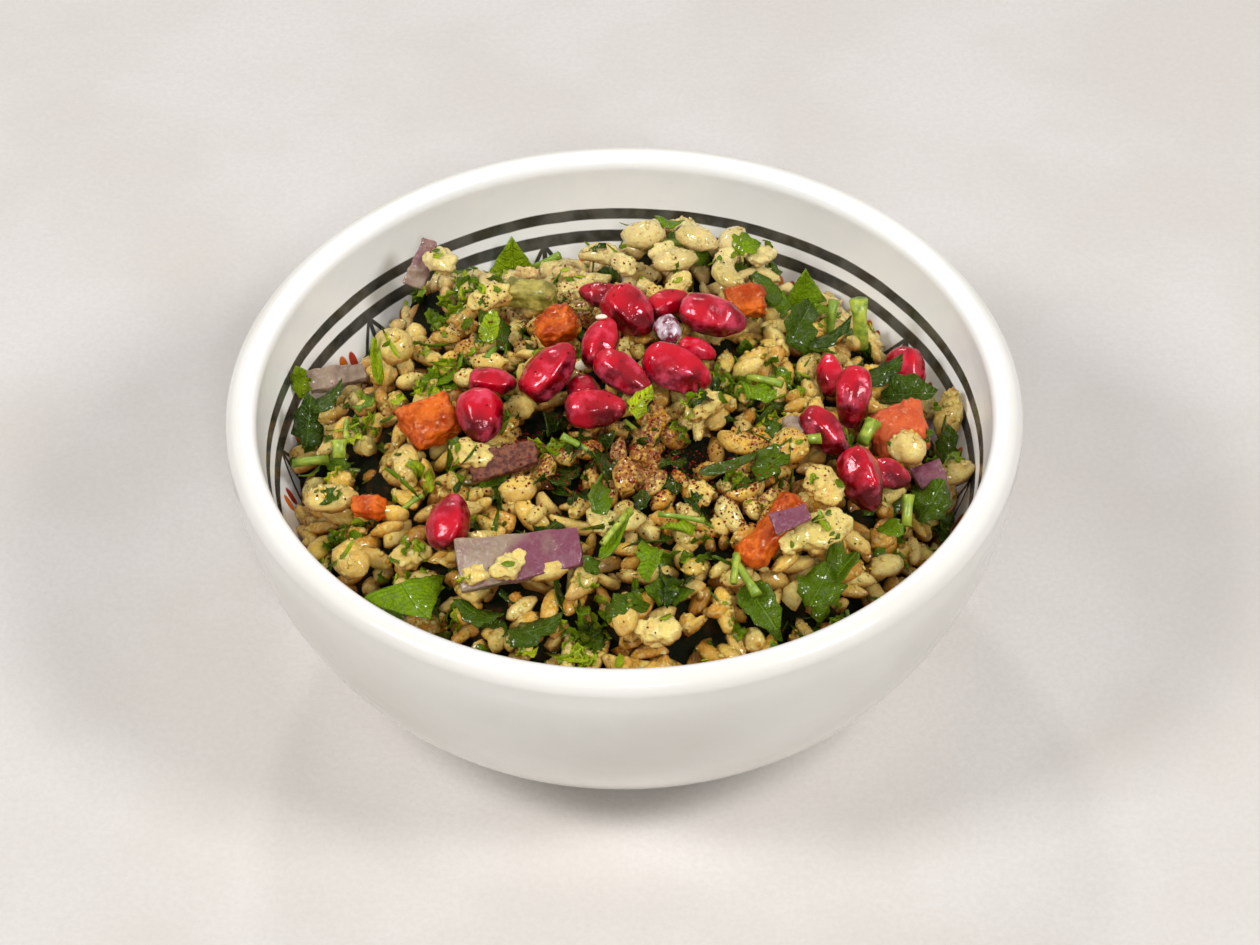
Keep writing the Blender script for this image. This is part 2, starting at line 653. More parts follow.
# The crease and the two ends of a grain are browner than its belly.
grain_shapes = [whole, plump, bent, burst, broken]
for shape in grain_shapes:
    along, across, up = shape["points"].T
    seam = np.exp(-((across / 0.6) ** 2)) * (up > 0)
    tips = np.clip((np.abs(along) - 2.8) / 1.0, 0, 1)
    shape["crease"] = np.maximum(seam, 0.8 * tips)


def solid_of(piece):
    """A piece's points in millimetres, and its faces."""
    points = [vert.co / MM for vert in piece.data.vertices]
    return points, [list(face.vertices) for face in piece.data.polygons]


def merged(solids):
    """Several solids as one."""
    points, faces = [], []
    for more_points, more_faces in solids:
        start = len(points)
        points += more_points
        faces += [[start + index for index in face] for face in more_faces]
    return points, faces


fruit_names = [name for name in nodes if name not in ("bowl", "salad")]
fruit_solid = merged([solid_of(nodes[name]) for name in fruit_names])
fruit_tree = BVHTree.FromPolygons(*fruit_solid)


def near_fruit(place, clearance):
    """Whether a place is closer than this to the arils, tomato and onion."""
    return fruit_tree.find_nearest(place, clearance)[0] is not None


def off_the_fruit(point, clearance):
    """The same point, moved out of the arils, tomato and onion by this clearance."""
    nearest, normal, _, gap = fruit_tree.find_nearest(point, clearance + 6.0)
    if nearest is None:
        return point
    depth = (point - nearest).dot(normal)
    signed = math.copysign(gap, depth)
    if signed >= clearance:
        return point
    if signed > 0.01:
        return nearest + (point - nearest) / gap * clearance
    return nearest + normal * clearance


def herb_share(x, y):
    """How far herbs crowd out the grain at a place, from 0 to 1."""
    scattered = 3.6 * (noise.noise(Vector((x, y, 40)) / 6.5) - 0.54)
    patches = [0.9 - math.hypot(x - at_x, y - at_y) / reach for at_x, at_y, reach in HERB_PATCHES]
    return min(1.0, max(0.0, scattered, *patches))


herb_map = np.array([[herb_share(x, y) for x in ticks] for y in ticks])
lump_map = np.array(
    [[noise.fractal(Vector((x, y, 0)) / 9, 1.0, 2.0, 2) for x in ticks] for y in ticks]
)


def in_herbs(x, y):
    """How far herbs crowd out the grain here, read from the map."""
    return read_map(herb_map, x, y)


def anywhere(reach):
    """A random x and y, evenly spread over a disc of this radius."""
    out = reach * math.sqrt(rng.random())
    turn = rng.uniform(0, math.tau)
    return out * math.cos(turn), out * math.sin(turn)


# Herbs crowd the grains out of the top of the layer only.
rng = np.random.default_rng(11)
grain_middles = []
while len(grain_middles) < GRAIN_COUNT:
    x, y = anywhere(62)
    deep = GRAIN_LAYER * rng.random()
    if deep < 4.2 and rng.random() < 1.6 * float(in_herbs(x, y)):
        continue
    grain_middles.append((x, y, float(heap_top(x, y)) - 1.2 - deep))
grain_middles = np.array(grain_middles)
grain_length = rng.uniform(*GRAIN_LENGTHS, GRAIN_COUNT)
grain_width = rng.uniform(*GRAIN_WIDTHS, GRAIN_COUNT)
ball = grain_width * 0.47
half_gap = np.maximum(grain_length / 2 - ball, 0.6)
heading = rng.uniform(0, math.tau, GRAIN_COUNT)
rise = rng.normal(0, 0.5, GRAIN_COUNT)
axis = np.stack([np.cos(heading) * np.cos(rise), np.sin(heading) * np.cos(rise), np.sin(rise)], axis=1)
to_end = axis * half_gap[:, None]
ends = np.concatenate([grain_middles + to_end, grain_middles - to_end])
radii = np.concatenate([ball, ball])
grain_of = np.arange(2 * GRAIN_COUNT) % GRAIN_COUNT
proud = np.tile(rng.uniform(-1.6, PROUD_OF_HEAP, GRAIN_COUNT), 2)
sunk = 2.8 * in_herbs(ends[:, 0], ends[:, 1])
# A grain is two balls at a fixed distance. Balls that lap push each other off, then all of them
# are kept off the fruit, under the heap's surface and inside the wall. The list of pairs near
# enough to touch is renewed every ten rounds.
for settling in range(SETTLING_ROUNDS):
    if settling % 10 == 0:
        spread = ((ends[:, None, :] - ends[None, :, :]) ** 2).sum(axis=2)
        first, second = np.nonzero(np.triu(spread < 49, 1))
        others = grain_of[first] != grain_of[second]
        first, second = first[others], second[others]
    gaps = ends[first] - ends[second]
    apart = np.sqrt((gaps**2).sum(axis=1)) + 1e-6
    lap = np.clip((radii[first] + radii[second]) * 0.96 - apart, 0, None)
    push = gaps / apart[:, None] * lap[:, None] * 0.3
    for side in range(3):
        ends[:, side] += np.bincount(first, push[:, side], len(ends))
        ends[:, side] -= np.bincount(second, push[:, side], len(ends))
    if settling % 3 == 0:
        for index in range(len(ends)):
            ends[index] = off_the_fruit(Vector(ends[index]), radii[index])[:]
    lumps = LUMPINESS * read_map(lump_map, ends[:, 0], ends[:, 1])
    ceiling = heap_top(ends[:, 0], ends[:, 1]) + lumps + proud - sunk - radii
    ends[:, 2] = np.minimum(ends[:, 2], ceiling)
    ends[:, 2] = np.maximum(ends[:, 2], ceiling - GRAIN_LAYER)
    out = np.hypot(ends[:, 0], ends[:, 1])
    limit = wall_radius(ends[:, 2]) - radii - 0.15
    ends[:, :2] *= np.minimum(1, limit / np.maximum(out, 1e-6))[:, None]
    middles = (ends[:GRAIN_COUNT] + ends[GRAIN_COUNT:]) / 2
    spans = ends[:GRAIN_COUNT] - ends[GRAIN_COUNT:]
    spans[:, 2] += 1e-4
    spans *= (half_gap / np.sqrt((spans**2).sum(axis=1)))[:, None]
    ends = np.concatenate([middles + spans, middles - spans])


def store(mesh, name, values):
    """Stores one value with each of a mesh's points, for its material."""
    mesh.attributes.new(name, "FLOAT", "POINT").data.foreach_set("value", values)


def join_copies(name, copies):
    """One mesh of many copies. A copy is (shape, 3 by 3 matrix, place in mm, tint from 0 to 1)."""
    points, loops, counts, tints, patterns, creases = [], [], [], [], [], []
    start = 0
    for shape, matrix, place, tint in copies:
        moved = shape["points"] @ np.asarray(matrix, float).T + np.asarray(place, float)
        points.append(moved)
        loops.append(np.array([start + index for face in shape["faces"] for index in face]))
        counts.append(np.array([len(face) for face in shape["faces"]]))
        tints.append(np.full(len(moved), tint))
        creases.append(shape.get("crease", np.zeros(len(moved))))
        if shape["pattern"] is not None:
            patterns.append(shape["pattern"])
        start += len(moved)
    points, loops, counts = np.concatenate(points), np.concatenate(loops), np.concatenate(counts)
    mesh = bpy.data.meshes.new(name)
    mesh.vertices.add(len(points))
    mesh.vertices.foreach_set("co", (points * MM).ravel())
    mesh.loops.add(len(loops))
    mesh.loops.foreach_set("vertex_index", loops)
    mesh.polygons.add(len(counts))
    mesh.polygons.foreach_set("loop_start", np.concatenate([[0], np.cumsum(counts)[:-1]]))
    mesh.polygons.foreach_set("loop_total", counts)
    mesh.update(calc_edges=True)
    store(mesh, "tint", np.concatenate(tints))
    store(mesh, "under_top", heap_top(points[:, 0], points[:, 1]) - points[:, 2])
    if np.any(creases[0]):
        store(mesh, "crease", np.concatenate(creases))
    if patterns:
        mesh.uv_layers.new(name="leaf").data.foreach_set("uv", np.concatenate(patterns).ravel())
    mesh.validate()
    mesh.shade_smooth()
    piece = bpy.data.objects.new(name, mesh)
    bpy.context.scene.collection.objects.link(piece)
    return piece


def stand(forward, roll):
    """A turn that brings X to a direction, rolled round it."""
    return forward.to_track_quat("X", "Z").to_matrix() @ Matrix.Rotation(roll, 3, "X")


def lie(normal, turn):
    """A turn that lays a thing flat on a surface, turned there by this angle."""
    return normal.to_track_quat("Z", "Y").to_matrix() @ Matrix.Rotation(turn, 3, "Z")


def aim(heading, end_up=0.0, rolled=0.0):
    """A turn of X to a heading, with its end raised, rolled round it, in degrees."""
    turn = Matrix.Rotation(math.radians(heading), 3, "Z")
    turn = turn @ Matrix.Rotation(math.radians(-end_up), 3, "Y")
    return turn @ Matrix.Rotation(math.radians(rolled), 3, "X")


def drop(tree, x, y):
    """(place, normal) where something dropped at x, y in mm first lands on a tree's mesh."""
    return tree.ray_cast(Vector((x, y, DROP_HEIGHT)), Vector((0, 0, -1)))[:2]


def grain_size(length, width):
    """The scale that brings the grain shapes, about 8 by 4.1 mm, to a length and a width."""
    return np.diag([length / 8, width / 4.1, width / 4.1])


grain_copies = []
for index in range(GRAIN_COUNT):
    shape = grain_shapes[int(rng.choice(5, p=(0.34, 0.2, 0.18, 0.16, 0.12)))]
    forward = Vector(ends[index] - ends[index + GRAIN_COUNT])
    turn = stand(forward, rng.uniform(0, math.tau))
    size = grain_size(grain_length[index], grain_width[index])
    place = (ends[index] + ends[index + GRAIN_COUNT]) / 2
    pale = 0.55 if place[1] > 26 and abs(place[0] - 8) < 26 else 0.0  # the back is paler
    warp = np.eye(3) + rng.normal(0, 0.13, (3, 3))
    tint = pale + (1 - pale) * rng.random()
    grain_copies.append((shape, np.array(turn) @ size @ warp, place, tint))

# Grains that stand out, set by hand: shape, place, length, width, heading, end up, tint.
CHOSEN_GRAINS = (
    (whole, (58.3, 10.3, 44.6), 10.0, 5.2, 72, 46, 0.7),
    (plump, (49.7, -7.2, 53.2), 6.4, 6.0, 40, 20, 1.0),
    (whole, (-13.1, -39.4, 56.6), 8.6, 4.6, 10, 6, 0.8),
    (bent, (-6.9, -40.9, 55.6), 8.8, 4.4, 70, 10, 0.75),
    (whole, (-0.2, -47.6, 53.8), 8.8, 4.6, 84, 10, 0.6),
    (whole, (-51.2, -15.6, 50.2), 10.0, 5.2, 4, 0, 0.9),
    (plump, (-47.2, -30.0, 49.4), 8.4, 5.6, -60, 0, 0.5),
    (plump, (-41.0, 17.1, 56.4), 7.4, 6.2, 0, 0, 0.8),
    (whole, (-38.0, -12.5, 55.6), 8.6, 4.4, 84, 10, 0.8),
    (bent, (20.0, -14.5, 61.6), 8.6, 4.4, -20, 0, 0.35),
    (plump, (28.5, -14.0, 60.4), 7.4, 5.8, 60, 10, 0.3),
    (whole, (58.6, -4.6, 44.6), 8.0, 4.6, 30, 0, 0.85),
    (plump, (4.0, 44.5, 58.6), 8.5, 5.0, 20, 5, 1.0),
    (whole, (13.5, 43.5, 58.4), 9.0, 4.8, -30, 0, 0.95),
    (whole, (20.0, 45.0, 56.4), 8.5, 4.6, 60, 0, 1.0),
    (bent, (-3.5, 43.0, 55.4), 8.5, 4.4, 160, 0, 0.95),
    (whole, (9.5, 36.5, 59.2), 8.5, 4.6, 10, 0, 0.9),
    (bent, (18.5, 33.5, 58.2), 8.5, 4.4, -60, 0, 0.9),
)
for shape, place, length, width, heading_degrees, end_up, tint in CHOSEN_GRAINS:
    turn = np.array(aim(heading_degrees, end_up))
    grain_copies.append((shape, turn @ grain_size(length, width), place, tint))
grains = join_copies("grains", grain_copies)

clump_shapes = []
for number in range(4):
    clump = start_primitive(
        bpy.ops.mesh.primitive_ico_sphere_add, "grain_clump", subdivisions=4, radius=0.5
    )
    pick(clump, lambda co: True)
    bpy.ops.transform.resize(value=(7.5 * MM, 5.6 * MM, 4.2 * MM))
    bpy.ops.object.mode_set(mode="OBJECT")
    for vert in clump.data.vertices:
        at = vert.co / MM + Vector((20 * number, 0, 0))
        knobs = 1.1 * noise.noise(at / 2.6) + 0.7 * noise.noise(at / 1.1)
        knobs += 0.3 * noise.noise(at / 0.55)
        vert.co += vert.co.normalized() * knobs * MM
    clump_shapes.append(finish_shape(clump))

# Clumps that stand out, set by hand: place, size, heading, tint.
CHOSEN_CLUMPS = (
    ((-33.2, 38.6, 58.2), 0.95, 120, 0.95), ((-19.6, -39.9, 58.2), 0.95, 60, 0.95),
    ((-24.8, -40.4, 56.2), 0.8, 10, 0.8), ((33.5, -31.5, 57.2), 1.3, 16, 0.9),
    ((28.5, -33.5, 56.6), 0.8, 70, 0.95), ((5.2, -50.1, 52.4), 1.0, 8, 0.9),
    ((14.0, -6.0, 62.6), 0.9, 40, 0.8), ((34.0, -22.0, 58.4), 1.1, 110, 0.75),
    ((8.0, 40.5, 57.6), 0.8, 20, 0.95), ((18.5, 39.0, 56.8), 0.75, 80, 0.9),
    ((0.0, 36.5, 58.4), 0.7, 130, 0.9), ((25.5, 43.0, 54.6), 0.7, 10, 0.95),
    ((12.0, 49.0, 55.4), 0.75, 60, 1.0), ((10.0, 31.0, 58.6), 0.7, 60, 0.7),
    ((-24.0, 26.0, 60.0), 1.0, 30, 0.75), ((-26.5, -14.5, 59.5), 1.0, 150, 0.8),
)
clump_copies = []
for number, (place, size, heading_degrees, tint) in enumerate(CHOSEN_CLUMPS):
    clump_copies.append((clump_shapes[number % 4], np.array(aim(heading_degrees)) * size, place, tint))
while len(clump_copies) < CLUMP_COUNT:
    x, y = anywhere(59)
    place = Vector((x, y, float(heap_top(x, y)) - rng.uniform(0.6, 2.8)))
    if rng.random() < 2 * float(in_herbs(x, y)) or near_fruit(place, 3.2):
        continue
    turn = lie(heap_normal(x, y), rng.uniform(0, 6)) @ Matrix.Rotation(rng.normal(0, 0.4), 3, "X")
    shape = clump_shapes[int(rng.integers(4))]
    clump_copies.append((shape, np.array(turn) * rng.uniform(0.6, 1.1), place, rng.random()))
clumps = join_copies("grain_clumps", clump_copies)

crumb = start_primitive(
    bpy.ops.mesh.primitive_ico_sphere_add, "grain_crumb", subdivisions=1, radius=0.5 * MM
)
crumb_shape = finish_shape(crumb, 0.22, 14)
grain_points = np.empty(len(grains.data.vertices) * 3)
grains.data.vertices.foreach_get("co", grain_points)
grain_points = [Vector(point) for point in grain_points.reshape(-1, 3) / MM]
grain_solid = (grain_points, [list(face.vertices) for face in grains.data.polygons])
grain_tree = BVHTree.FromPolygons(*grain_solid)
crumb_copies = []
while len(crumb_copies) < CRUMB_COUNT:
    x, y = anywhere(61)
    place, normal = drop(grain_tree, x, y)
    if place is None or noise.noise(Vector((x, y, 60)) / 4) < rng.uniform(-0.5, 0.4):
        continue
    if near_fruit(place, 1.0):
        continue
    turn = lie(normal, rng.uniform(0, math.tau))
    size = np.diag(rng.uniform((0.5, 0.4, 0.3), (1.7, 1.1, 0.8)))
    crumb_copies.append((crumb_shape, np.array(turn) @ size, place, rng.random()))
crumbs = join_copies("grain_crumbs", crumb_copies)


def new_group(name, inputs, outputs):
    """A shader node group: (group, its inputs, its output node). Inputs are (name, kind, value)."""
    group = bpy.data.node_groups.new(name, "ShaderNodeTree")
    for label, kind, value in inputs:
        group.interface.new_socket(label, in_out="INPUT", socket_type=kind).default_value = value
    for label, kind in outputs:
        group.interface.new_socket(label, in_out="OUTPUT", socket_type=kind)
    return group, group.nodes.new("NodeGroupInput").outputs, group.nodes.new("NodeGroupOutput")


def use_group(tree, group, **values):
    """The first output of a group node whose inputs are given by name."""
    node = tree.nodes.new("ShaderNodeGroup")
    node.node_tree = group
    set_up(tree, node, **values)
    return node.outputs[0]


# Oil and lemon juice lie in patches, so everything in the salad is part wet and part dull.
oil, given, result = new_group(
    "oil film",
    (
        ("Patch Size", "NodeSocketFloat", 0.0018),
        ("Wet", "NodeSocketFloat", 0.15),
        ("Dull", "NodeSocketFloat", 0.45),
    ),
    (("Roughness", "NodeSocketFloat"),),
)
patches = oil.nodes.new("ShaderNodeTexNoise")
scale = calc(oil, "DIVIDE", 1.0, given["Patch Size"])
set_up(oil, patches, Vector=place_of(oil), Scale=scale, Detail=3.0)
film = ramp(oil, patches.outputs["Fac"], 0.35, 0.65, given["Wet"], given["Dull"])
set_up(oil, result, Roughness=film)

# What lies deep in the heap is soaked and darker.
soaked, given, result = new_group(
    "soaked below the top",
    (("Color", "NodeSocketColor", (1, 1, 1, 1)), ("Soak", "NodeSocketColor", (0.2, 0.1, 0.05, 1))),
    (("Color", "NodeSocketColor"),),
)
depth = ramp(soaked, attribute(soaked, "under_top"), 1.8, 6.2)
set_up(soaked, result, Color=mix(soaked, depth, given["Color"], given["Soak"], "MULTIPLY"))


def facing_up(tree):
    """1 where a surface faces up, 0 on an upright one, -1 underneath."""
    return split(tree, tree.nodes.new("ShaderNodeNewGeometry").outputs["Normal"])[2]


# Ground sumac is dusted over the middle in drifts (x, y and radius in mm, and how thick), and
# clings to whatever faces up.
SUMAC_DRIFTS = (
    (2, -14, 17, 1.0), (-14, -12, 12, 0.9), (22, -20, 12, 0.6), (-6, 22, 13, 0.9), (-27, 18, 10, 0.35),
)
dusted, given, result = new_group(
    "sumac dusting",
    (("Color", "NodeSocketColor", (1, 1, 1, 1)), ("Amount", "NodeSocketFloat", 1.0)),
    (("Color", "NodeSocketColor"),),
)
x, y, z = split(dusted, place_of(dusted))
nearness = 0.0
for drift_x, drift_y, drift_radius, share in SUMAC_DRIFTS:
    off_x = calc(dusted, "SUBTRACT", x, drift_x * MM)
    off_y = calc(dusted, "SUBTRACT", y, drift_y * MM)
    reach = how_far(dusted, off_x, off_y)
    near = ramp(dusted, reach, 0.25 * drift_radius * MM, drift_radius * MM, share, 0.0)
    nearness = calc(dusted, "MAXIMUM", nearness, near)
nearness = calc(dusted, "MULTIPLY", nearness, ramp(dusted, facing_up(dusted), 0.0, 0.7))
cover = calc(dusted, "ADD", speckle(dusted, 0.0007, 3.0, 0.6), calc(dusted, "MULTIPLY", nearness, 0.27))
cover = calc(dusted, "ADD", cover, calc(dusted, "MULTIPLY", speckle(dusted, 0.004, 2.0), 0.12))
cover = calc(dusted, "MULTIPLY", ramp(dusted, cover, 0.66, 0.84, 0.0, 0.8), given["Amount"])
powder = mix(dusted, speckle(dusted, 0.0012), srgb(96, 20, 12), srgb(164, 50, 34))
set_up(dusted, result, Color=mix(dusted, cover, given["Color"], powder))

barley, tree, shader = new_material("barley")
tint = attribute(tree, "tint")
warm = mix(tree, ramp(tree, tint, 0.0, 0.35, kind="LINEAR"), srgb(218, 148, 32), srgb(252, 204, 86))
warm = mix(tree, ramp(tree, tint, 0.35, 1.0, kind="LINEAR"), warm, srgb(255, 230, 138))
patchy = ramp(tree, speckle(tree, 0.0028, 4.0, 0.6), 0.48, 0.72, 0.0, 0.4)
husk = mix(tree, patchy, warm, srgb(214, 156, 66))
fine = ramp(tree, speckle(tree, 0.0008, 3.0, 0.6), 0.48, 0.64, 0.0, 0.5)
husk = mix(tree, fine, husk, srgb(255, 238, 168))
husk = mix(tree, calc(tree, "MULTIPLY", attribute(tree, "crease"), 0.6), husk, srgb(172, 108, 34))
husk = mix(tree, ramp(tree, facing_up(tree), -0.5, 0.5, 0.8, 0.0), husk, srgb(214, 126, 14))
creamy = ramp(tree, split(tree, place_of(tree))[1], 24 * MM, 40 * MM, 0.0, 0.5)
husk = mix(tree, creamy, husk, srgb(252, 230, 168))
olive = ramp(tree, speckle(tree, 0.007, 2.0), 0.56, 0.68, 0.0, 0.3)
husk = mix(tree, olive, husk, srgb(196, 186, 78))
husk = use_group(tree, soaked, Color=husk, Soak=(0.4, 0.2, 0.05, 1))
set_up(
    tree, shader,
    Base_Color=use_group(tree, dusted, Color=husk, Amount=1.0),
    Roughness=use_group(tree, oil, Patch_Size=0.0016, Wet=0.14, Dull=0.42),
    Specular_Tint=(1.0, 0.8, 0.45, 1), Subsurface_Weight=0.25,
    Subsurface_Radius=(1.0, 0.55, 0.15), Subsurface_Scale=0.0013,
    Coat_Weight=ramp(tree, speckle(tree, 0.0009, 2.0), 0.4, 0.56, 0.1, 1.0), Coat_Roughness=0.1,
)
bump(tree, shader, speckle(tree, 0.0009, 5.0, 0.75), 0.0009)
bump(tree, shader, speckle(tree, 0.0016, 1.0), 0.0003, onto="Coat Normal")
for piece in (grains, clumps, crumbs):
    piece.data.materials.append(barley)
    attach(piece, "root")


# --- Parsley and stems -------------------------------------------------------------------------
# Flat and curly parsley, chopped roughly and wet with oil. Each cut of leaf is a thin closed sheet
# shaped from a disc: an outline, a fold or a ruffle, then its thickness. They crowd in the herb
# patches, some are tucked between the grains, and short stems lie among them.
LEAF_THICKNESS = 0.16
DEEP_SHEETS = 190
DRAPED_SHEETS = 76
TUFT_COUNT = 28
CURLS_IN_TUFT = 7
STEM_COUNT = 40
SHRED_COUNT = 90
FLAKE_COUNT = 300


def make_leaf(name, sides, rings, length, width, outline, lift):
    """A disc pulled to an outline, lifted to a relief, and given its thickness."""
    leaf = start_primitive(
        bpy.ops.mesh.primitive_circle_add, name, vertices=sides, radius=MM, fill_type="TRIFAN"
    )
    bpy.ops.object.mode_set(mode="EDIT")
    bpy.ops.mesh.select_all(action="SELECT")
    for _ in range(rings):
        bpy.ops.mesh.inset(thickness=MM / (rings + 1))
    bpy.ops.object.mode_set(mode="OBJECT")
    pattern = leaf.data.uv_layers.new(name="leaf")
    for vert in leaf.data.vertices:
        turn = math.atan2(vert.co.y, vert.co.x)
        out = math.hypot(vert.co.x, vert.co.y) * outline(turn)
        vert.co = (out * math.cos(turn) * length / 2, out * math.sin(turn) * width / 2, 0)
    for loop in leaf.data.loops:
        flat = leaf.data.vertices[loop.vertex_index].co / MM
        pattern.data[loop.index].uv = (flat.x / 10 + 0.5, flat.y / 10 + 0.5)
    for vert in leaf.data.vertices:
        vert.co.z = lift(vert.co.x / MM, vert.co.y / MM) * MM
    solid = leaf.modifiers.new("thickness", "SOLIDIFY")
    solid.thickness = LEAF_THICKNESS * MM
    solid.offset = 0
    bpy.ops.object.modifier_apply(modifier="thickness")
    return finish_shape(leaf)


def lobed(turn):
    """Three or five pointed lobes, the middle one longest."""
    return (0.6 + 0.4 * abs(math.cos(3 * turn)) ** 0.7) * (0.55 + 0.45 * math.cos(turn / 2) ** 2)


def pointed(turn):
    """A toothed leaflet, widest near its base, with its tip along X."""
    return (0.5 + 0.5 * max(0.0, math.cos(turn)) ** 4.5) * (1 + 0.07 * math.cos(11 * turn))


def triangular(turn):
    """A cut corner of a broad leaf, with its point along X."""
    sides = max(math.cos(turn - math.radians(60)), math.cos(turn + math.radians(60)), -math.cos(turn))
    return 0.5 / max(sides, 0.5) * (1 + 0.03 * math.cos(9 * turn))


def torn(turn):
    """A scrap with an uneven edge."""
    edge = 0.16 * math.sin(2 * turn + 0.7) + 0.13 * math.sin(3 * turn + 2) + 0.09 * math.sin(7 * turn)
    return 0.86 + edge


def frilled(turn):
    """A leaflet of curly parsley."""
    edge = 0.07 * math.sin(9 * turn + 0.5) + 0.09 * math.sin(4 * turn + 1) + 0.04 * math.sin(13 * turn)
    return 0.84 + edge


leaf_shapes = {
    "pointed": make_leaf(
        "pointed_leaf", 26, 3, 10.0, 9.0, pointed,
        lambda x, y: 0.3 * abs(y) - 0.016 * x * x + 0.16 * math.sin(1.7 * x) * abs(y) / 3,
    ),
    "triangular": make_leaf(
        "corner_leaf", 24, 3, 10.0, 9.5, triangular,
        lambda x, y: 0.035 * x * x - 0.03 * y * y + 0.12 * math.sin(1.4 * x + y),
    ),
    "broad": make_leaf(
        "broad_corner_leaf", 28, 3, 13.5, 20.0, triangular,
        lambda x, y: -0.012 * y * y + 0.03 * x * x + 0.2 * math.sin(0.9 * y),
    ),
    "lobed": make_leaf("lobed_leaf", 20, 1, 9.5, 8.5, lobed, lambda x, y: 0.22 * abs(y) - 0.03 * x * x),
    "torn": make_leaf("torn_leaf", 14, 1, 7.5, 5.5, torn, lambda x, y: 0.09 * x * x - 0.1 * y * y),
    "folded": make_leaf("folded_leaf", 14, 1, 8.0, 6.0, torn, lambda x, y: 0.8 * abs(y) - 0.04 * x * x),
    "cupped": make_leaf("cupped_leaf", 14, 1, 6.5, 6.0, lobed, lambda x, y: 0.13 * (x * x + y * y)),
    "ruffled": make_leaf(
        "ruffled_leaf", 20, 2, 8.0, 7.0, frilled,
        lambda x, y: 0.085 * (x * x + y * y) * math.sin(4 * math.atan2(y, x) + 0.4),
    ),
    "curly": make_leaf(
        "curly_leaf", 20, 2, 7.0, 6.0, frilled,
        lambda x, y: 0.11 * (x * x + y * y) * math.sin(5 * math.atan2(y, x)) + 0.3 * x,
    ),
    "blade": make_leaf("leaf_blade", 10, 1, 9.0, 2.4, torn, lambda x, y: 0.05 * x * x + 0.5 * abs(y)),
    "flake": make_leaf("herb_flake", 6, 0, 2.0, 1.4, torn, lambda x, y: 0.25 * x * x - 0.2 * y),
    "shred": make_leaf("herb_shred", 8, 0, 6.0, 0.8, torn, lambda x, y: 0.06 * x * x),
}

stem = start_primitive(
    bpy.ops.mesh.primitive_cylinder_add, "cut_stem",
    vertices=7, radius=0.55 * MM, depth=8 * MM, end_fill_type="NGON", rotation=(0, math.pi / 2, 0),
)
bpy.ops.object.transform_apply(rotation=True)
pick(stem, lambda co: True)
bpy.ops.mesh.bisect(plane_co=(-1.6 * MM, 0, 0), plane_no=(1, 0, 0))
bpy.ops.mesh.select_all(action="SELECT")
bpy.ops.mesh.bisect(plane_co=(1.4 * MM, 0, 0), plane_no=(1, 0, 0))
nudge(stem, lambda co: abs(co.x) < 2 * MM, (0, 0, 0.2))
pick(stem, lambda co: co.x > 3 * MM)
bpy.ops.transform.resize(value=(1, 1.35, 1.2), center_override=(4 * MM, 0, 0))
stem_shape = finish_shape(stem, 0.05, 6)

top_solid = merged([grain_solid, fruit_solid, solid_of(core), solid_of(clumps)])
top_tree = BVHTree.FromPolygons(*top_solid)


def lay_sheet(shape, x, y, z, size, tilt, tint):
    """A copy of a leaf or stem: laid along the heap with a random heading, then tilted."""
    turn = lie(heap_normal(x, y), rng.uniform(0, math.tau))
    turn = turn @ Matrix.Rotation(tilt[0], 3, "Y") @ Matrix.Rotation(tilt[1], 3, "X")
    return (shape, np.array(turn) * size, (x, y, z), tint)


def in_shade(x, y):
    """The herbs in the dusted middle are darker."""
    return 0.8 * math.exp(-((x - 3) ** 2 + (y + 13) ** 2) / 340)


def keep_in_bowl(piece):
    """Presses a piece's points back from the bowl's wall and out of the fruit."""
    for vert in piece.data.vertices:
        point = vert.co / MM
        out = math.hypot(point.x, point.y)
        limit = float(wall_radius(point.z)) - 0.35
        if out > limit:
            point.x *= limit / out
            point.y *= limit / out
        vert.co = off_the_fruit(point, 0.2) * MM


def drape(copy, cling):
    """Lets a laid sheet sag over what is under it, so no point sinks in and none floats far off."""
    shape, matrix, place, tint = copy
    points = shape["points"] @ np.asarray(matrix).T + np.asarray(place)
    half = len(points) // 2  # Solidify lists one side of the sheet and then the other
    middles = (points[:half] + points[half:]) / 2
    to_side = (points[:half] - points[half:]) / 2
    for middle in middles:
        under = drop(top_tree, middle[0], middle[1])[0]
        if under is not None:
            middle[2] = min(max(middle[2], under.z + 0.15), under.z + cling)
    points = np.concatenate([middles + to_side, middles - to_side])
    draped = {"points": points, "faces": shape["faces"], "pattern": shape["pattern"]}
    return (draped, np.eye(3), (0, 0, 0), tint)


def pose_leaf(kind, place, length, heading, tip_up, rolled, tint):
    """One leaf set by hand: its length in mm, and the turns of its tip and blade in degrees."""
    turn = aim(heading, tip_up, rolled)
    return (leaf_shapes[kind], np.array(turn) * length / 10, place, tint)


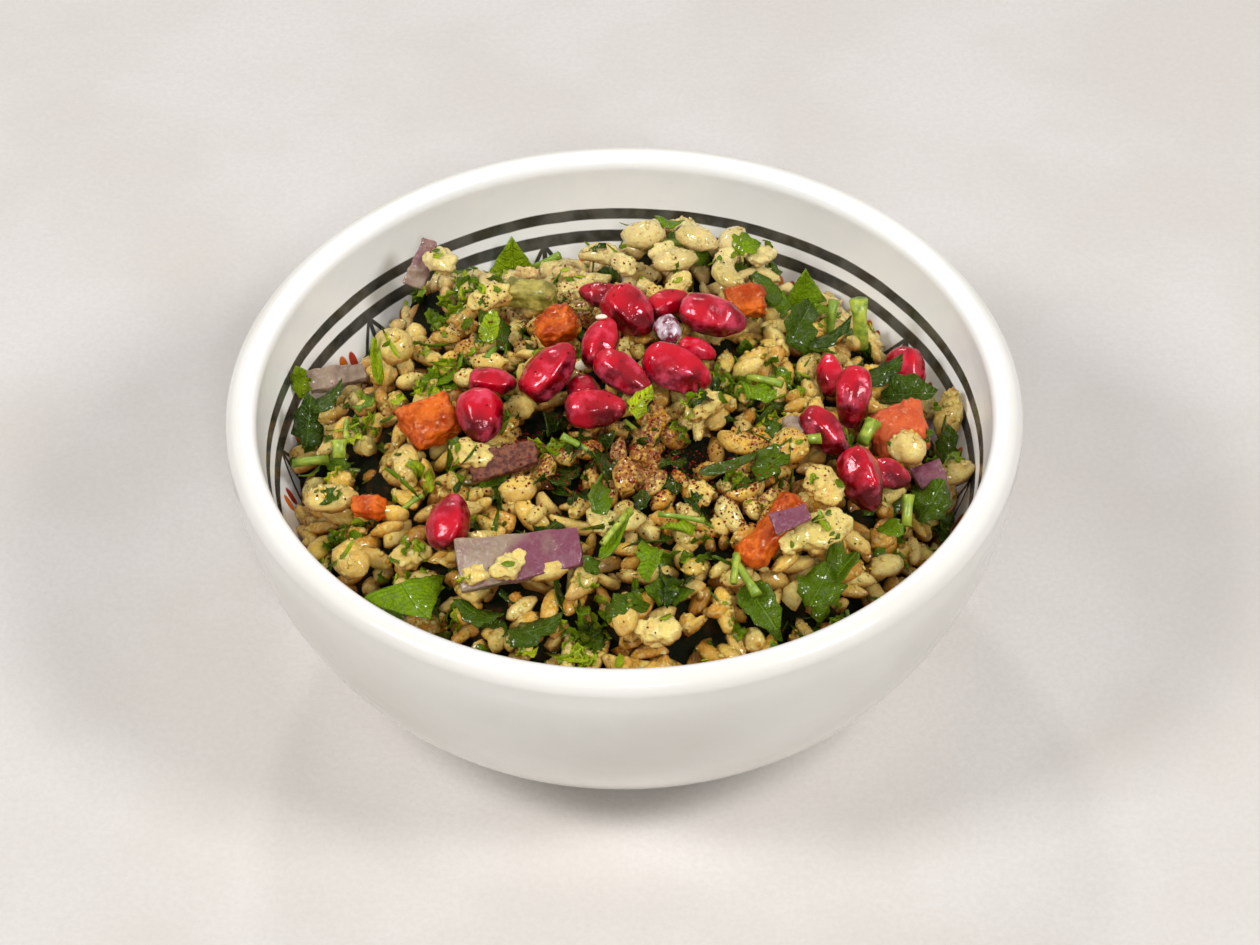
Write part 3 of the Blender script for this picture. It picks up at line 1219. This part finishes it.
# Leaves that stand out, set by hand: kind, place, length, heading, tip up, roll, tint.
CHOSEN_LEAVES = (
    ("broad", (-36.5, -41.0, 51.6), 10.0, -61, -4, -8, 0.5),
    ("triangular", (-20.9, 55.0, 40.2), 17.0, 92, 76, 4, 0.62),
    ("triangular", (33.1, 34.0, 53.4), 10.5, 96, 76, 8, 0.52),
    ("folded", (31.5, 20.5, 57.2), 13.0, 62, 18, 30, 0.1),
    ("torn", (37.0, 18.2, 56.6), 12.0, 20, 12, -20, 0.02),
    ("pointed", (26.5, 27.5, 58.6), 10.0, 120, 20, 20, 0.18),
    ("pointed", (22.0, -43.5, 52.8), 14.0, -62, -8, 16, 0.2),
    ("ruffled", (32.9, -40.6, 52.6), 13.0, 66, 10, 10, 0.2),
    ("pointed", (36.0, -37.5, 52.0), 12.0, 52, 14, -24, 0.22),
    ("folded", (4.1, -39.7, 58.2), 9.5, -104, -8, 6, 0.5),
    ("folded", (9.0, -33.5, 59.2), 7.5, 168, 10, 20, 0.6),
    ("torn", (2.7, -7.1, 64.4), 8.5, 48, 14, 26, 0.9),
    ("torn", (-56.4, 5.5, 48.2), 13.0, 84, 34, 12, 0.0),
    ("torn", (-53.0, 9.0, 51.0), 10.0, 30, 18, -10, 0.06),
    ("torn", (57.8, 1.9, 43.6), 11.0, 84, 30, 10, 0.1),
    ("folded", (50.3, 9.6, 50.2), 13.0, -4, 6, 14, 0.06),
    ("torn", (46.5, 13.5, 52.0), 11.0, 28, 8, 0, 0.04),
    ("pointed", (45.4, -25.3, 51.4), 9.0, -64, 26, 16, 0.4),
    ("ruffled", (53.4, -16.2, 48.6), 12.0, 50, 30, 0, 0.14),
    ("blade", (17.2, -20.2, 61.0), 13.0, 20, 0, 10, 0.1),
    ("folded", (25.0, -17.8, 60.0), 10.5, 28, 4, 30, 0.2),
    ("ruffled", (23.8, -1.1, 61.4), 9.5, -40, 6, 0, 0.5),
    ("torn", (8.7, 46.8, 59.4), 7.0, 160, 0, 10, 0.45),
    ("lobed", (21.9, 43.0, 56.6), 8.0, 20, 4, 10, 0.55),
    ("torn", (-58.5, 17.5, 47.5), 9.0, 98, 70, 0, 0.62),
    ("blade", (-44.6, 14.8, 54.8), 11.0, 100, 66, 20, 0.74),
    ("pointed", (-24.0, 15.5, 61.0), 8.0, 70, 40, 10, 0.7),
    ("folded", (-4.5, -27.5, 61.0), 9.0, 76, 4, 20, 0.3),
    ("blade", (-2.0, -35.5, 58.6), 13.0, 62, 4, 0, 0.5),
    ("torn", (-15.5, -49.5, 51.8), 13.0, 12, 6, 0, 0.08),
    ("torn", (-25.0, -46.0, 52.2), 11.0, 150, 4, 8, 0.1),
    ("folded", (-0.2, -46.6, 53.6), 10.0, 4, 4, 10, 0.16),
)
# Curls of parsley, set by hand: x, y, spread in mm, tint.
CHOSEN_TUFTS = (
    (-32.6, 33.9, 3.4, 0.62), (-28.5, 37.0, 2.6, 0.4), (-32.8, 12.6, 3.6, 0.6), (-36.5, 7.5, 2.6, 0.75),
    (-48.8, -21.1, 3.2, 0.5), (-44.5, -17.5, 2.2, 0.3), (-7.5, -44.6, 3.8, 0.66), (-2.5, -42.5, 2.8, 0.35),
    (-51.0, -4.0, 2.4, 0.7), (-47.0, 2.0, 2.6, 0.45), (17.5, 6.0, 2.8, 0.5), (20.5, 0.5, 2.6, 0.36),
    (-12.0, -11.0, 3.0, 0.6), (56.5, -4.0, 2.2, 0.5), (13.0, -33.5, 2.6, 0.3), (29.0, 9.0, 2.8, 0.4),
    (-30.0, -42.0, 2.4, 0.7), (-38.0, -28.5, 2.4, 0.5),
)

rng = np.random.default_rng(23)
kinds = ("lobed", "torn", "folded", "cupped", "ruffled", "curly", "blade", "pointed")
weights = (0.12, 0.22, 0.18, 0.1, 0.13, 0.1, 0.08, 0.07)
sheet_copies = [drape(pose_leaf(*row), 14.0) for row in CHOSEN_LEAVES]
while len(sheet_copies) < len(CHOSEN_LEAVES) + DEEP_SHEETS:
    x, y = anywhere(62)
    if rng.random() > 0.3 + float(in_herbs(x, y)):
        continue
    z = float(heap_top(x, y)) - rng.uniform(1.6, 4.6)
    tilt = rng.normal(0, 0.5, 2)
    kind = rng.choice(kinds, p=weights)
    tint = max(0.0, rng.uniform(0, 0.5) - in_shade(x, y))
    sheet_copies.append(lay_sheet(leaf_shapes[kind], x, y, z, rng.uniform(0.5, 1.1), tilt, tint))
while len(sheet_copies) < len(CHOSEN_LEAVES) + DEEP_SHEETS + DRAPED_SHEETS:
    x, y = anywhere(61)
    place = drop(top_tree, x, y)[0]
    herbs_here = float(in_herbs(x, y))
    if place is None or rng.random() > 0.16 + 1.2 * herbs_here:
        continue
    size = rng.uniform(0.28, 0.5 + 0.55 * herbs_here)
    if near_fruit(place, 1.0 + 3.6 * size):
        continue
    kind = rng.choice(kinds, p=weights)
    shade = 0.42 + 0.5 * noise.noise(Vector((x, y, 20)) / 7) + rng.normal(0, 0.2) - in_shade(x, y)
    tint = float(np.clip(shade, 0, 1))
    copy = lay_sheet(leaf_shapes[kind], x, y, place.z + 0.5, size, rng.normal(0, 0.35, 2), tint)
    sheet_copies.append(drape(copy, 1.5))
leaves = join_copies("parsley_leaves", sheet_copies)
keep_in_bowl(leaves)

tufts = list(CHOSEN_TUFTS)
while len(tufts) < TUFT_COUNT:
    x, y = anywhere(59)
    place = drop(top_tree, x, y)[0]
    if place is None or near_fruit(place, 2.5):
        continue
    if rng.random() < float(in_herbs(x, y)):
        tufts.append((x, y, rng.uniform(1.4, 2.8), rng.uniform(0.2, 0.8)))
curl_copies = []
for tuft_x, tuft_y, spread, brightness in tufts:
    for _ in range(int(CURLS_IN_TUFT * spread / 2.4) + 2):
        x, y = rng.normal((tuft_x, tuft_y), spread * 0.6)
        place = drop(top_tree, x, y)[0]
        if place is None or math.hypot(x, y) > 61:
            continue
        shape = leaf_shapes["curly" if rng.random() < 0.7 else "ruffled"]
        size = rng.uniform(0.32, 0.62)
        tint = float(np.clip(brightness + rng.normal(0, 0.16), 0, 1))
        z = place.z + rng.uniform(-0.6, 0.9)
        curl_copies.append(lay_sheet(shape, x, y, z, size, rng.normal(0, 0.8, 2), tint))
curls = join_copies("curly_parsley", curl_copies)
keep_in_bowl(curls)

# Stems that stand out, set by hand: place, length, thickness, heading, end up, tint.
CHOSEN_STEMS = (
    ((42.8, 25.0, 53.6), 9.5, 2.6, 100, 68, 0.85),
    ((37.6, 25.0, 54.2), 8.0, 1.5, 76, 62, 0.3),
    ((24.7, 1.0, 61.9), 6.5, 1.3, -22, 4, 0.6),
    ((30.4, -12.0, 59.6), 7.5, 1.6, 4, 6, 0.6),
    ((-55.6, -3.3, 47.4), 6.5, 1.6, 8, 0, 0.45),
    ((-50.2, -4.1, 51.2), 3.2, 2.4, 90, 40, 0.7),
    ((20.2, -40.6, 55.2), 8.5, 1.5, -64, -6, 0.5),
    ((18.6, -39.0, 55.6), 5.5, 1.3, 80, 20, 0.7),
    ((42.7, -5.3, 55.2), 4.6, 2.4, 60, 20, 0.7),
    ((49.0, -19.9, 50.2), 5.5, 1.8, 84, 34, 0.6),
    ((-1.5, -33.0, 59.8), 9.0, 1.2, 58, 2, 0.9),
    ((9.5, -31.0, 60.0), 8.0, 0.9, -12, 0, 0.4),
)
stem_copies = []
for place, length, thick, heading, end_up, tint in CHOSEN_STEMS:
    size = np.diag([length / 8, thick / 1.1, thick / 1.1])
    stem_copies.append((stem_shape, np.array(aim(heading, end_up)) @ size, place, tint))
while len(stem_copies) < STEM_COUNT:
    x, y = anywhere(58)
    place = drop(top_tree, x, y)[0]
    if place is None or near_fruit(place, 3.0):
        continue
    if rng.random() > 0.25 + float(in_herbs(x, y)):
        continue
    tilt = (rng.normal(0, 0.3), rng.uniform(0, math.tau))
    size = np.diag([rng.uniform(0.35, 0.85), *([rng.uniform(0.6, 1.3)] * 2)])
    shape, matrix, place, tint = lay_sheet(stem_shape, x, y, place.z, 1.0, tilt, rng.random())
    stem_copies.append((shape, matrix @ size, place, tint))
stems = join_copies("parsley_stems", stem_copies)
keep_in_bowl(stems)

flake_copies = []
while len(flake_copies) < FLAKE_COUNT + SHRED_COUNT:
    x, y = anywhere(61)
    place, normal = drop(top_tree, x, y)
    herbs_here = noise.noise(Vector((x, y, 0)) / 7) + 0.5 * float(in_herbs(x, y))
    if place is None or herbs_here < rng.uniform(-0.5, 0.5):
        continue
    if near_fruit(place, 1.0) and rng.random() < 0.985:
        continue
    narrow = len(flake_copies) >= FLAKE_COUNT
    shape = leaf_shapes["shred" if narrow else "flake"]
    turn = lie(normal, rng.uniform(0, math.tau)) @ Matrix.Rotation(rng.normal(0, 0.35), 3, "Y")
    size = rng.uniform(0.5, 1.5)
    tint = max(0.0, rng.uniform(0.2, 1.0) - in_shade(x, y))
    flake_copies.append((shape, np.array(turn) * size, place + normal * 0.15, tint))
flakes = join_copies("chopped_herbs", flake_copies)
keep_in_bowl(flakes)

parsley, tree, shader = new_material("parsley_leaf")
tint = attribute(tree, "tint")
u, v, _ = split(tree, tree.nodes.new("ShaderNodeUVMap").outputs["UV"])
along_leaf = calc(tree, "MULTIPLY", calc(tree, "SUBTRACT", u, 0.5), 7.5)
off_midrib = calc(tree, "MULTIPLY", calc(tree, "ABSOLUTE", calc(tree, "SUBTRACT", v, 0.5)), 10.0)
side_vein = calc(tree, "SUBTRACT", along_leaf, calc(tree, "MULTIPLY", off_midrib, 0.55))
side_vein = calc(tree, "ABSOLUTE", calc(tree, "SUBTRACT", calc(tree, "FRACT", side_vein), 0.5))
veins = ramp(tree, side_vein, 0.03, 0.13, 0.7, 0.0)
veins = calc(tree, "MAXIMUM", veins, ramp(tree, off_midrib, 0.08, 0.28, 1.0, 0.0))
deep_green = mix(tree, ramp(tree, tint, 0.0, 0.5, kind="LINEAR"), srgb(17, 40, 1), srgb(106, 136, 1))
fresh_green = mix(tree, ramp(tree, tint, 0.5, 1.0, kind="LINEAR"), deep_green, srgb(190, 206, 30))
blotches = ramp(tree, speckle(tree, 0.0024, 3.0), 0.4, 0.7, 0.0, 0.4)
mottled = mix(tree, blotches, fresh_green, srgb(58, 84, 6))
mottled = mix(tree, calc(tree, "MULTIPLY", veins, 0.3), mottled, srgb(132, 164, 44))
mottled = use_group(tree, soaked, Color=mottled, Soak=(0.22, 0.2, 0.1, 1))
set_up(
    tree, shader,
    Base_Color=use_group(tree, dusted, Color=mottled, Amount=0.1),
    Roughness=use_group(tree, oil, Patch_Size=0.0011, Wet=0.12, Dull=0.5),
    Specular_IOR_Level=0.35, Specular_Tint=(0.8, 1.0, 0.3, 1), Subsurface_Weight=0.15,
    Subsurface_Radius=(0.6, 1.0, 0.1), Subsurface_Scale=0.0008,
    Coat_Weight=ramp(tree, speckle(tree, 0.0012, 2.0), 0.48, 0.62, 0.0, 0.9),
    Coat_Roughness=0.09,
)
puckers = calc(tree, "SUBTRACT", speckle(tree, 0.0009, 4.0, 0.6), calc(tree, "MULTIPLY", veins, 0.6))
bump(tree, shader, puckers, 0.0007)
bump(tree, shader, speckle(tree, 0.0013, 1.0), 0.0004, onto="Coat Normal")

stalk, tree, shader = new_material("parsley_stalk")
fresh = mix(tree, attribute(tree, "tint"), srgb(92, 130, 14), srgb(182, 190, 70))
fresh = mix(tree, ramp(tree, speckle(tree, 0.0014), 0.35, 0.7), fresh, srgb(104, 134, 34))
set_up(
    tree, shader,
    Base_Color=use_group(tree, soaked, Color=fresh, Soak=(0.25, 0.22, 0.12, 1)),
    Roughness=use_group(tree, oil, Patch_Size=0.0014, Wet=0.2, Dull=0.4), Subsurface_Weight=0.25,
    Subsurface_Radius=(0.6, 1.0, 0.3), Subsurface_Scale=0.001,
)
bump(tree, shader, speckle(tree, 0.0005), 0.00008)
for piece in (leaves, curls, flakes):
    piece.data.materials.append(parsley)
stems.data.materials.append(stalk)
for piece in (leaves, curls, flakes, stems):
    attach(piece, "root")


# --- Pomegranate arils -------------------------------------------------------------------------
# Juicy red seeds in their skins, thrown on top last. Each is the frame's own solid with its
# facets softened and its skin dimpled, so that it keeps the soft planes it got from its
# neighbours in the fruit. One is skinned over with a pale, glassy membrane.
ARIL_SOFTENING = 0.8
ARIL_SWELL = 1.06
PALE_ARIL = "aril_12"


def copy_of_node(node_name, piece_name):
    """A copy of a frame solid with its loose triangles merged back into faces."""
    data = nodes[node_name].data.copy()
    data.name = piece_name
    data.materials.clear()
    piece = bpy.data.objects.new(piece_name, data)
    bpy.context.scene.collection.objects.link(piece)
    bpy.ops.object.select_all(action="DESELECT")
    piece.select_set(True)
    bpy.context.view_layer.objects.active = piece
    bpy.ops.object.mode_set(mode="EDIT")
    bpy.ops.mesh.select_all(action="SELECT")
    bpy.ops.mesh.remove_doubles(threshold=0.00001)
    bpy.ops.mesh.tris_convert_to_quads(face_threshold=math.radians(50), shape_threshold=math.radians(60))
    bpy.ops.mesh.normals_make_consistent(inside=False)
    bpy.ops.object.mode_set(mode="OBJECT")
    return piece


def apply_modifier(piece, kind, **values):
    """Adds a modifier with these values and applies it."""
    modifier = piece.modifiers.new(kind.lower(), kind)
    for key, value in values.items():
        setattr(modifier, key, value)
    bpy.ops.object.modifier_apply(modifier=modifier.name)


def even_out(repeat):
    """Smooths the active piece's points, this many times over."""
    bpy.ops.object.mode_set(mode="EDIT")
    bpy.ops.mesh.select_all(action="SELECT")
    bpy.ops.mesh.vertices_smooth(factor=0.5, repeat=repeat)
    bpy.ops.object.mode_set(mode="OBJECT")


def nodes_called(start):
    """(number, name) of each node whose name starts like this."""
    return enumerate(sorted(name for name in nodes if name.startswith(start)))


def swell(piece, share):
    """Grows a piece about its own middle."""
    middle = sum((vert.co for vert in piece.data.vertices), Vector()) / len(piece.data.vertices)
    for vert in piece.data.vertices:
        vert.co = middle + (vert.co - middle) * share


aril_skin, tree, shader = new_material("aril_skin")
cloudy = ramp(tree, speckle(tree, 0.006), 0.3, 0.7, -0.35, 0.3)
depth = calc(tree, "ADD", ramp(tree, facing_up(tree), 0.0, 1.0, 0.1, 0.8), cloudy)
juice = mix(tree, ramp(tree, depth, 0.0, 1.0), srgb(76, 0, 5), srgb(192, 0, 30))
bloom = ramp(tree, speckle(tree, 0.0034, 3.0, 0.6), 0.48, 0.72, 0.0, 0.65)
juice = mix(tree, bloom, juice, srgb(222, 80, 108))
set_up(
    tree, shader,
    Base_Color=use_group(tree, dusted, Color=juice, Amount=0.2),
    Roughness=use_group(tree, oil, Patch_Size=0.0024, Wet=0.07, Dull=0.24),
    Specular_IOR_Level=0.6, Specular_Tint=(1.0, 0.45, 0.52, 1), Subsurface_Weight=0.5,
    Subsurface_Radius=(1.0, 0.08, 0.1), Subsurface_Scale=0.0022, Coat_Weight=0.25,
    Coat_Roughness=0.04,
)
bump(tree, shader, speckle(tree, 0.0014, 3.0), 0.00018)

membrane, tree, shader = new_material("aril_membrane")
veil = ramp(tree, speckle(tree, 0.0024, 4.0, 0.6), 0.44, 0.62)
set_up(
    tree, shader,
    Base_Color=mix(tree, veil, srgb(112, 24, 44), srgb(212, 196, 206)), Roughness=0.1,
    Subsurface_Weight=0.3, Subsurface_Radius=(1.0, 0.5, 0.6), Subsurface_Scale=0.0015,
    Coat_Weight=0.6, Coat_Roughness=0.04,
)
bump(tree, shader, speckle(tree, 0.0015, 2.0), 0.0003)


def aril_dimples(at):
    """How far the skin stands out."""
    return (0.22 * noise.noise(at / 3.0) + 0.05 * noise.noise(at / 0.9)) * MM


for number, name in nodes_called("aril_"):
    aril = copy_of_node(name, "ripe_" + name)
    apply_modifier(aril, "BEVEL", width=ARIL_SOFTENING * MM, segments=1, limit_method="NONE")
    apply_modifier(aril, "SUBSURF", levels=2, render_levels=2)
    even_out(10)
    push_out(aril, lambda place: aril_dimples(place / MM + Vector((9 * number, 0, 0))))
    swell(aril, ARIL_SWELL)
    aril.data.shade_smooth()
    aril.data.materials.append(membrane if name == PALE_ARIL else aril_skin)
    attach(aril, "root")
    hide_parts(name)


# --- Tomato ------------------------------------------------------------------------------------
# Rough dice of ripe tomato: wet, pulpy and uneven all over, with darker patches. Those at the
# right are rosier.
TOMATO_PULP = 0.8

tomato_flesh, tree, shader = new_material("tomato_flesh")
pulpy = ramp(tree, speckle(tree, 0.004, 4.0, 0.6), 0.35, 0.65)
ripe = mix(tree, pulpy, srgb(158, 50, 4), srgb(208, 100, 20))
charred = ramp(tree, speckle(tree, 0.0022, 5.0, 0.7), 0.5, 0.66)
ripe = mix(tree, calc(tree, "MULTIPLY", charred, 0.7), ripe, srgb(146, 48, 4))
rosy = ramp(tree, split(tree, place_of(tree))[0], 34 * MM, 40 * MM, 0.0, 0.6)
ripe = mix(tree, rosy, ripe, srgb(198, 88, 60))
set_up(
    tree, shader,
    Base_Color=use_group(tree, dusted, Color=ripe, Amount=1.0),
    Roughness=use_group(tree, oil, Patch_Size=0.002, Wet=0.15, Dull=0.42), Subsurface_Weight=0.3,
    Subsurface_Radius=(1.0, 0.2, 0.04), Subsurface_Scale=0.0016,
    Specular_Tint=(1.0, 0.6, 0.3, 1), Coat_Weight=0.12, Coat_Roughness=0.08,
)
bump(tree, shader, speckle(tree, 0.0013, 4.0, 0.55), 0.0003)


def tomato_pulp(at):
    """How far soft, cut flesh stands out."""
    pulp = noise.noise(at / 3.4) + 0.5 * noise.noise(at / 1.3) + 0.35 * noise.noise(at / 0.7)
    return TOMATO_PULP * pulp * MM


for number, name in nodes_called("tomato_"):
    dice = copy_of_node(name, "diced_" + name)
    apply_modifier(dice, "SUBSURF", levels=4, render_levels=4, subdivision_type="SIMPLE")
    even_out(34)
    push_out(dice, lambda place: tomato_pulp(place / MM + Vector((13 * number, 0, 0))))
    swell(dice, 1.12)
    dice.data.shade_smooth()
    dice.data.materials.append(tomato_flesh)
    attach(dice, "root")
    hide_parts(name)


# --- Red onion ---------------------------------------------------------------------------------
# Short slips of red onion: mauve to grey, half see-through, thin, arched and a little ragged. One
# in the middle is browned and dusted.
onion_flesh, tree, shader = new_material("onion_flesh")
stain = ramp(tree, speckle(tree, 0.006, 3.0), 0.3, 0.7, -0.35, 0.35)
stain = ramp(tree, calc(tree, "ADD", stain, attribute(tree, "mauve")), 0.1, 0.9)
slip = mix(tree, stain, srgb(146, 128, 106), srgb(120, 62, 80))
edge_tone = ramp(tree, speckle(tree, 0.0022, 4.0, 0.6), 0.52, 0.72, 0.0, 0.6)
slip = mix(tree, edge_tone, slip, srgb(108, 66, 70))
set_up(
    tree, shader,
    Base_Color=use_group(tree, dusted, Color=slip, Amount=0.9),
    Roughness=use_group(tree, oil, Patch_Size=0.002, Wet=0.18, Dull=0.42), Subsurface_Weight=0.4,
    Subsurface_Radius=(1.0, 0.6, 0.7), Subsurface_Scale=0.0015,
    Specular_Tint=(1.0, 0.85, 0.9, 1), Coat_Weight=0.12, Coat_Roughness=0.1,
)
bump(tree, shader, speckle(tree, 0.0011, 4.0), 0.00028)

browned, tree, shader = new_material("browned_onion")
dusty = ramp(tree, speckle(tree, 0.0009, 4.0, 0.7), 0.42, 0.6)
set_up(
    tree, shader,
    Base_Color=mix(tree, dusty, srgb(128, 72, 44), srgb(76, 26, 16)), Roughness=0.55,
)
bump(tree, shader, speckle(tree, 0.0012, 5.0, 0.7), 0.0006)


# For each slip: how wide it is left, as a share, how mauve its left and its right end are (the
# rest is grey), how often it is smoothed and how ragged it is.
SLIPS = {
    "onion_1": (1.0, (0.1, 1.0), 14, 0.9),
    "onion_2": (1.0, (0.9, 0.9), 14, 0.9),
    "onion_3": (1.1, (0.6, 0.7), 50, 2.0),
    "onion_4": (0.75, (0.0, 0.1), 50, 2.0),
    "onion_5": (0.6, (0.3, 0.5), 50, 2.0),
    "onion_6": (1.0, (1.0, 1.0), 50, 2.0),
}
SLIP_THICKNESS = 0.6  # as a share
SLIP_ARCH = 0.02


def thin_and_arch(piece, width, mauve_ends):
    """Thins a slip from below, tapers it and arches it, in its own three directions."""
    places = np.array([vert.co[:] for vert in piece.data.vertices]) / MM
    middle = places.mean(axis=0)
    sides = np.linalg.svd(places - middle, full_matrices=False)[2]
    if sides[2][2] < 0:
        sides[2] = -sides[2]
    along, across, up = sides @ (places - middle).T
    half_length = np.abs(along).max()
    if sides[0][0] < 0:
        sides[0], along = -sides[0], -along
    across *= width * (1 - 0.16 * along / half_length)
    across += 0.05 * half_length * np.cos(1.6 * along / half_length)
    top = up.max()
    up = top - (top - up) * SLIP_THICKNESS - SLIP_ARCH * across**2
    for vert, shares in zip(piece.data.vertices, np.stack([along, across, up], axis=1)):
        vert.co = Vector(middle + shares @ sides) * MM
    left_end, right_end = mauve_ends
    store(piece.data, "mauve", left_end + (right_end - left_end) * (along / half_length + 1) / 2)
    piece.data.update()


def onion_waves(at):
    """How far a cut slip waves out."""
    return 0.5 * (0.7 * noise.noise(at / 4.5) + 0.3 * noise.noise(at / 1.2)) * MM


for number, name in nodes_called("onion_"):
    width, mauve_ends, smoothing, ragged = SLIPS[name]
    slice_ = copy_of_node(name, "sliced_" + name)
    apply_modifier(slice_, "BEVEL", width=0.3 * MM, segments=2, limit_method="ANGLE")
    apply_modifier(slice_, "SUBSURF", levels=3, render_levels=3, subdivision_type="SIMPLE")
    thin_and_arch(slice_, width, mauve_ends)
    even_out(smoothing)
    push_out(slice_, lambda place: ragged * onion_waves(place / MM + Vector((17 * number, 0, 0))))
    slice_.data.shade_smooth()
    slice_.data.materials.append(browned if name == "onion_6" else onion_flesh)
    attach(slice_, "root")
    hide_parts(name)


# --- Sumac, sesame and small bits --------------------------------------------------------------
# Ground sumac is shaken over the middle: coarse dark red grains, thickest between the arils and
# the onion. A few white sesame seeds, one black one, and stray bits of olive, tomato and onion
# lie on top.
SUMAC_COUNT = 2800
FAR_SUMAC = 0.04  # the share that falls outside the drifts
# Where the sesame seeds lie, and how they are turned, in degrees.
SESAME = ((-7.2, 8.4, 30), (-6.2, 10.0, 80), (-3.8, 11.4, 110), (17.8, 27.5, 20))

rng = np.random.default_rng(37)
speck = start_primitive(
    bpy.ops.mesh.primitive_ico_sphere_add, "sumac_grain", subdivisions=1, radius=0.5 * MM
)
pick(speck, lambda co: True)
bpy.ops.mesh.vertices_smooth(factor=0.1)
speck_shape = finish_shape(speck, 0.12, 8)

surface_solid = merged([top_solid, solid_of(leaves), solid_of(curls), solid_of(stems)])
surface_tree = BVHTree.FromPolygons(*surface_solid)
speck_copies = []
while len(speck_copies) < SUMAC_COUNT:
    if rng.random() < FAR_SUMAC:
        x, y = anywhere(57)
    else:
        drift_x, drift_y, drift_radius, share = SUMAC_DRIFTS[int(rng.integers(len(SUMAC_DRIFTS)))]
        if rng.random() > share:
            continue
        x, y = rng.normal((drift_x, drift_y), drift_radius * 0.55)
    if noise.noise(Vector((x, y, 5)) / 5) < rng.uniform(-0.7, 0.2):
        continue
    place, normal = drop(surface_tree, x, y)
    if place is None or math.hypot(x, y) > 58:
        continue
    if near_fruit(place, 0.3) and rng.random() < 0.85:
        continue
    under = drop(top_tree, x, y)[0]
    if under is not None and place.z > under.z + 0.1 and rng.random() < 0.8:
        continue
    turn = lie(normal, rng.uniform(0, 6))
    size = rng.uniform(0.22, 0.55)
    speck_copies.append((speck_shape, np.array(turn) * size, place + normal * 0.05, rng.random()))
sumac = join_copies("sumac", speck_copies)

sumac_dust, tree, shader = new_material("sumac")
ground = mix(tree, attribute(tree, "tint"), srgb(72, 14, 10), srgb(146, 42, 30))
set_up(tree, shader, Base_Color=ground, Roughness=0.8, Specular_IOR_Level=0.15)
bump(tree, shader, speckle(tree, 0.0003), 0.00006)
sumac.data.materials.append(sumac_dust)
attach(sumac, "root")

seed = start_primitive(
    bpy.ops.mesh.primitive_uv_sphere_add, "sesame_seed", segments=14, ring_count=10, radius=0.5
)
pick(seed, lambda co: True)
bpy.ops.transform.resize(value=(3.0 * MM, 1.9 * MM, 0.95 * MM))
pick(seed, lambda co: co.x > 0.3 * MM)
bpy.ops.transform.resize(value=(1.05, 0.74, 0.9), center_override=(0.3 * MM, 0, 0))
seed_shape = finish_shape(seed, 0.03, 9)
seed_copies = []
for x, y, degrees in SESAME:
    place, normal = drop(surface_tree, x, y)
    turn = lie(normal, math.radians(degrees))
    seed_copies.append((seed_shape, np.array(turn), place + normal * 0.35, rng.random()))
sesame = join_copies("sesame_seeds", seed_copies)
place, normal = drop(surface_tree, -1.5, 29.5)
black_copy = (seed_shape, np.array(lie(normal, 0.2)) * 1.15, place + normal * 0.4, 0.0)
black_seed = join_copies("black_sesame_seed", [black_copy])


def hull(name, dark, light, roughness):
    """A sesame seed's matt hull."""
    material, tree, shader = new_material(name)
    set_up(
        tree, shader,
        Base_Color=mix(tree, speckle(tree, 0.0008), dark, light), Roughness=roughness,
    )
    bump(tree, shader, speckle(tree, 0.0005), 0.00005)
    return material


pale_hull = hull("sesame_hull", srgb(240, 226, 190), srgb(252, 244, 222), 0.42)
black_hull = hull("black_sesame_hull", srgb(26, 30, 28), srgb(52, 56, 52), 0.4)
sesame.data.materials.append(pale_hull)
black_seed.data.materials.append(black_hull)
for piece in (sesame, black_seed):
    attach(piece, "root")

olive_flesh, tree, shader = new_material("olive_flesh")
flesh = ramp(tree, speckle(tree, 0.002, 4.0), 0.35, 0.65)
flesh = mix(tree, flesh, srgb(112, 106, 36), srgb(176, 162, 78))
set_up(
    tree, shader,
    Base_Color=use_group(tree, dusted, Color=flesh, Amount=0.8),
    Roughness=use_group(tree, oil, Patch_Size=0.002, Wet=0.14, Dull=0.4),
    Specular_Tint=(1.0, 0.95, 0.5, 1), Coat_Weight=0.3,
)
bump(tree, shader, speckle(tree, 0.0012, 5.0, 0.6), 0.0004)
# The stray bits: what, place, size and turn, flesh and slot.
STRAY_BITS = (
    ("olive_chunk", (-16.8, 27.8, 59.0), (10.0, 5.0, 4.0), 14, olive_flesh, "grain_and_herb"),
    ("tomato_scrap", (-44.3, -18.7, 51.0), (6.6, 3.6, 2.6), 8, tomato_flesh, "tomato_flesh"),
    ("onion_scrap", (30.0, -7.9, 58.9), (4.2, 3.4, 2.6), 40, onion_flesh, "onion_flesh"),
)
for number, (name, place, size, degrees, flesh, slot) in enumerate(STRAY_BITS):
    bit = start_primitive(bpy.ops.mesh.primitive_cube_add, name, size=1.0)
    pick(bit, lambda co: True)
    bpy.ops.transform.resize(value=[side * MM for side in size])
    bpy.ops.transform.rotate(value=math.radians(degrees), orient_axis="Z", center_override=(0, 0, 0))
    bpy.ops.transform.translate(value=[side * MM for side in place])
    bpy.ops.object.mode_set(mode="OBJECT")
    apply_modifier(bit, "SUBSURF", levels=4, render_levels=4, subdivision_type="SIMPLE")
    even_out(30)
    push_out(bit, lambda place: tomato_pulp(place / MM + Vector((9 * number, 5, 0))))
    bit.data.shade_smooth()
    bit.data.materials.append(flesh)
    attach(bit, "root")
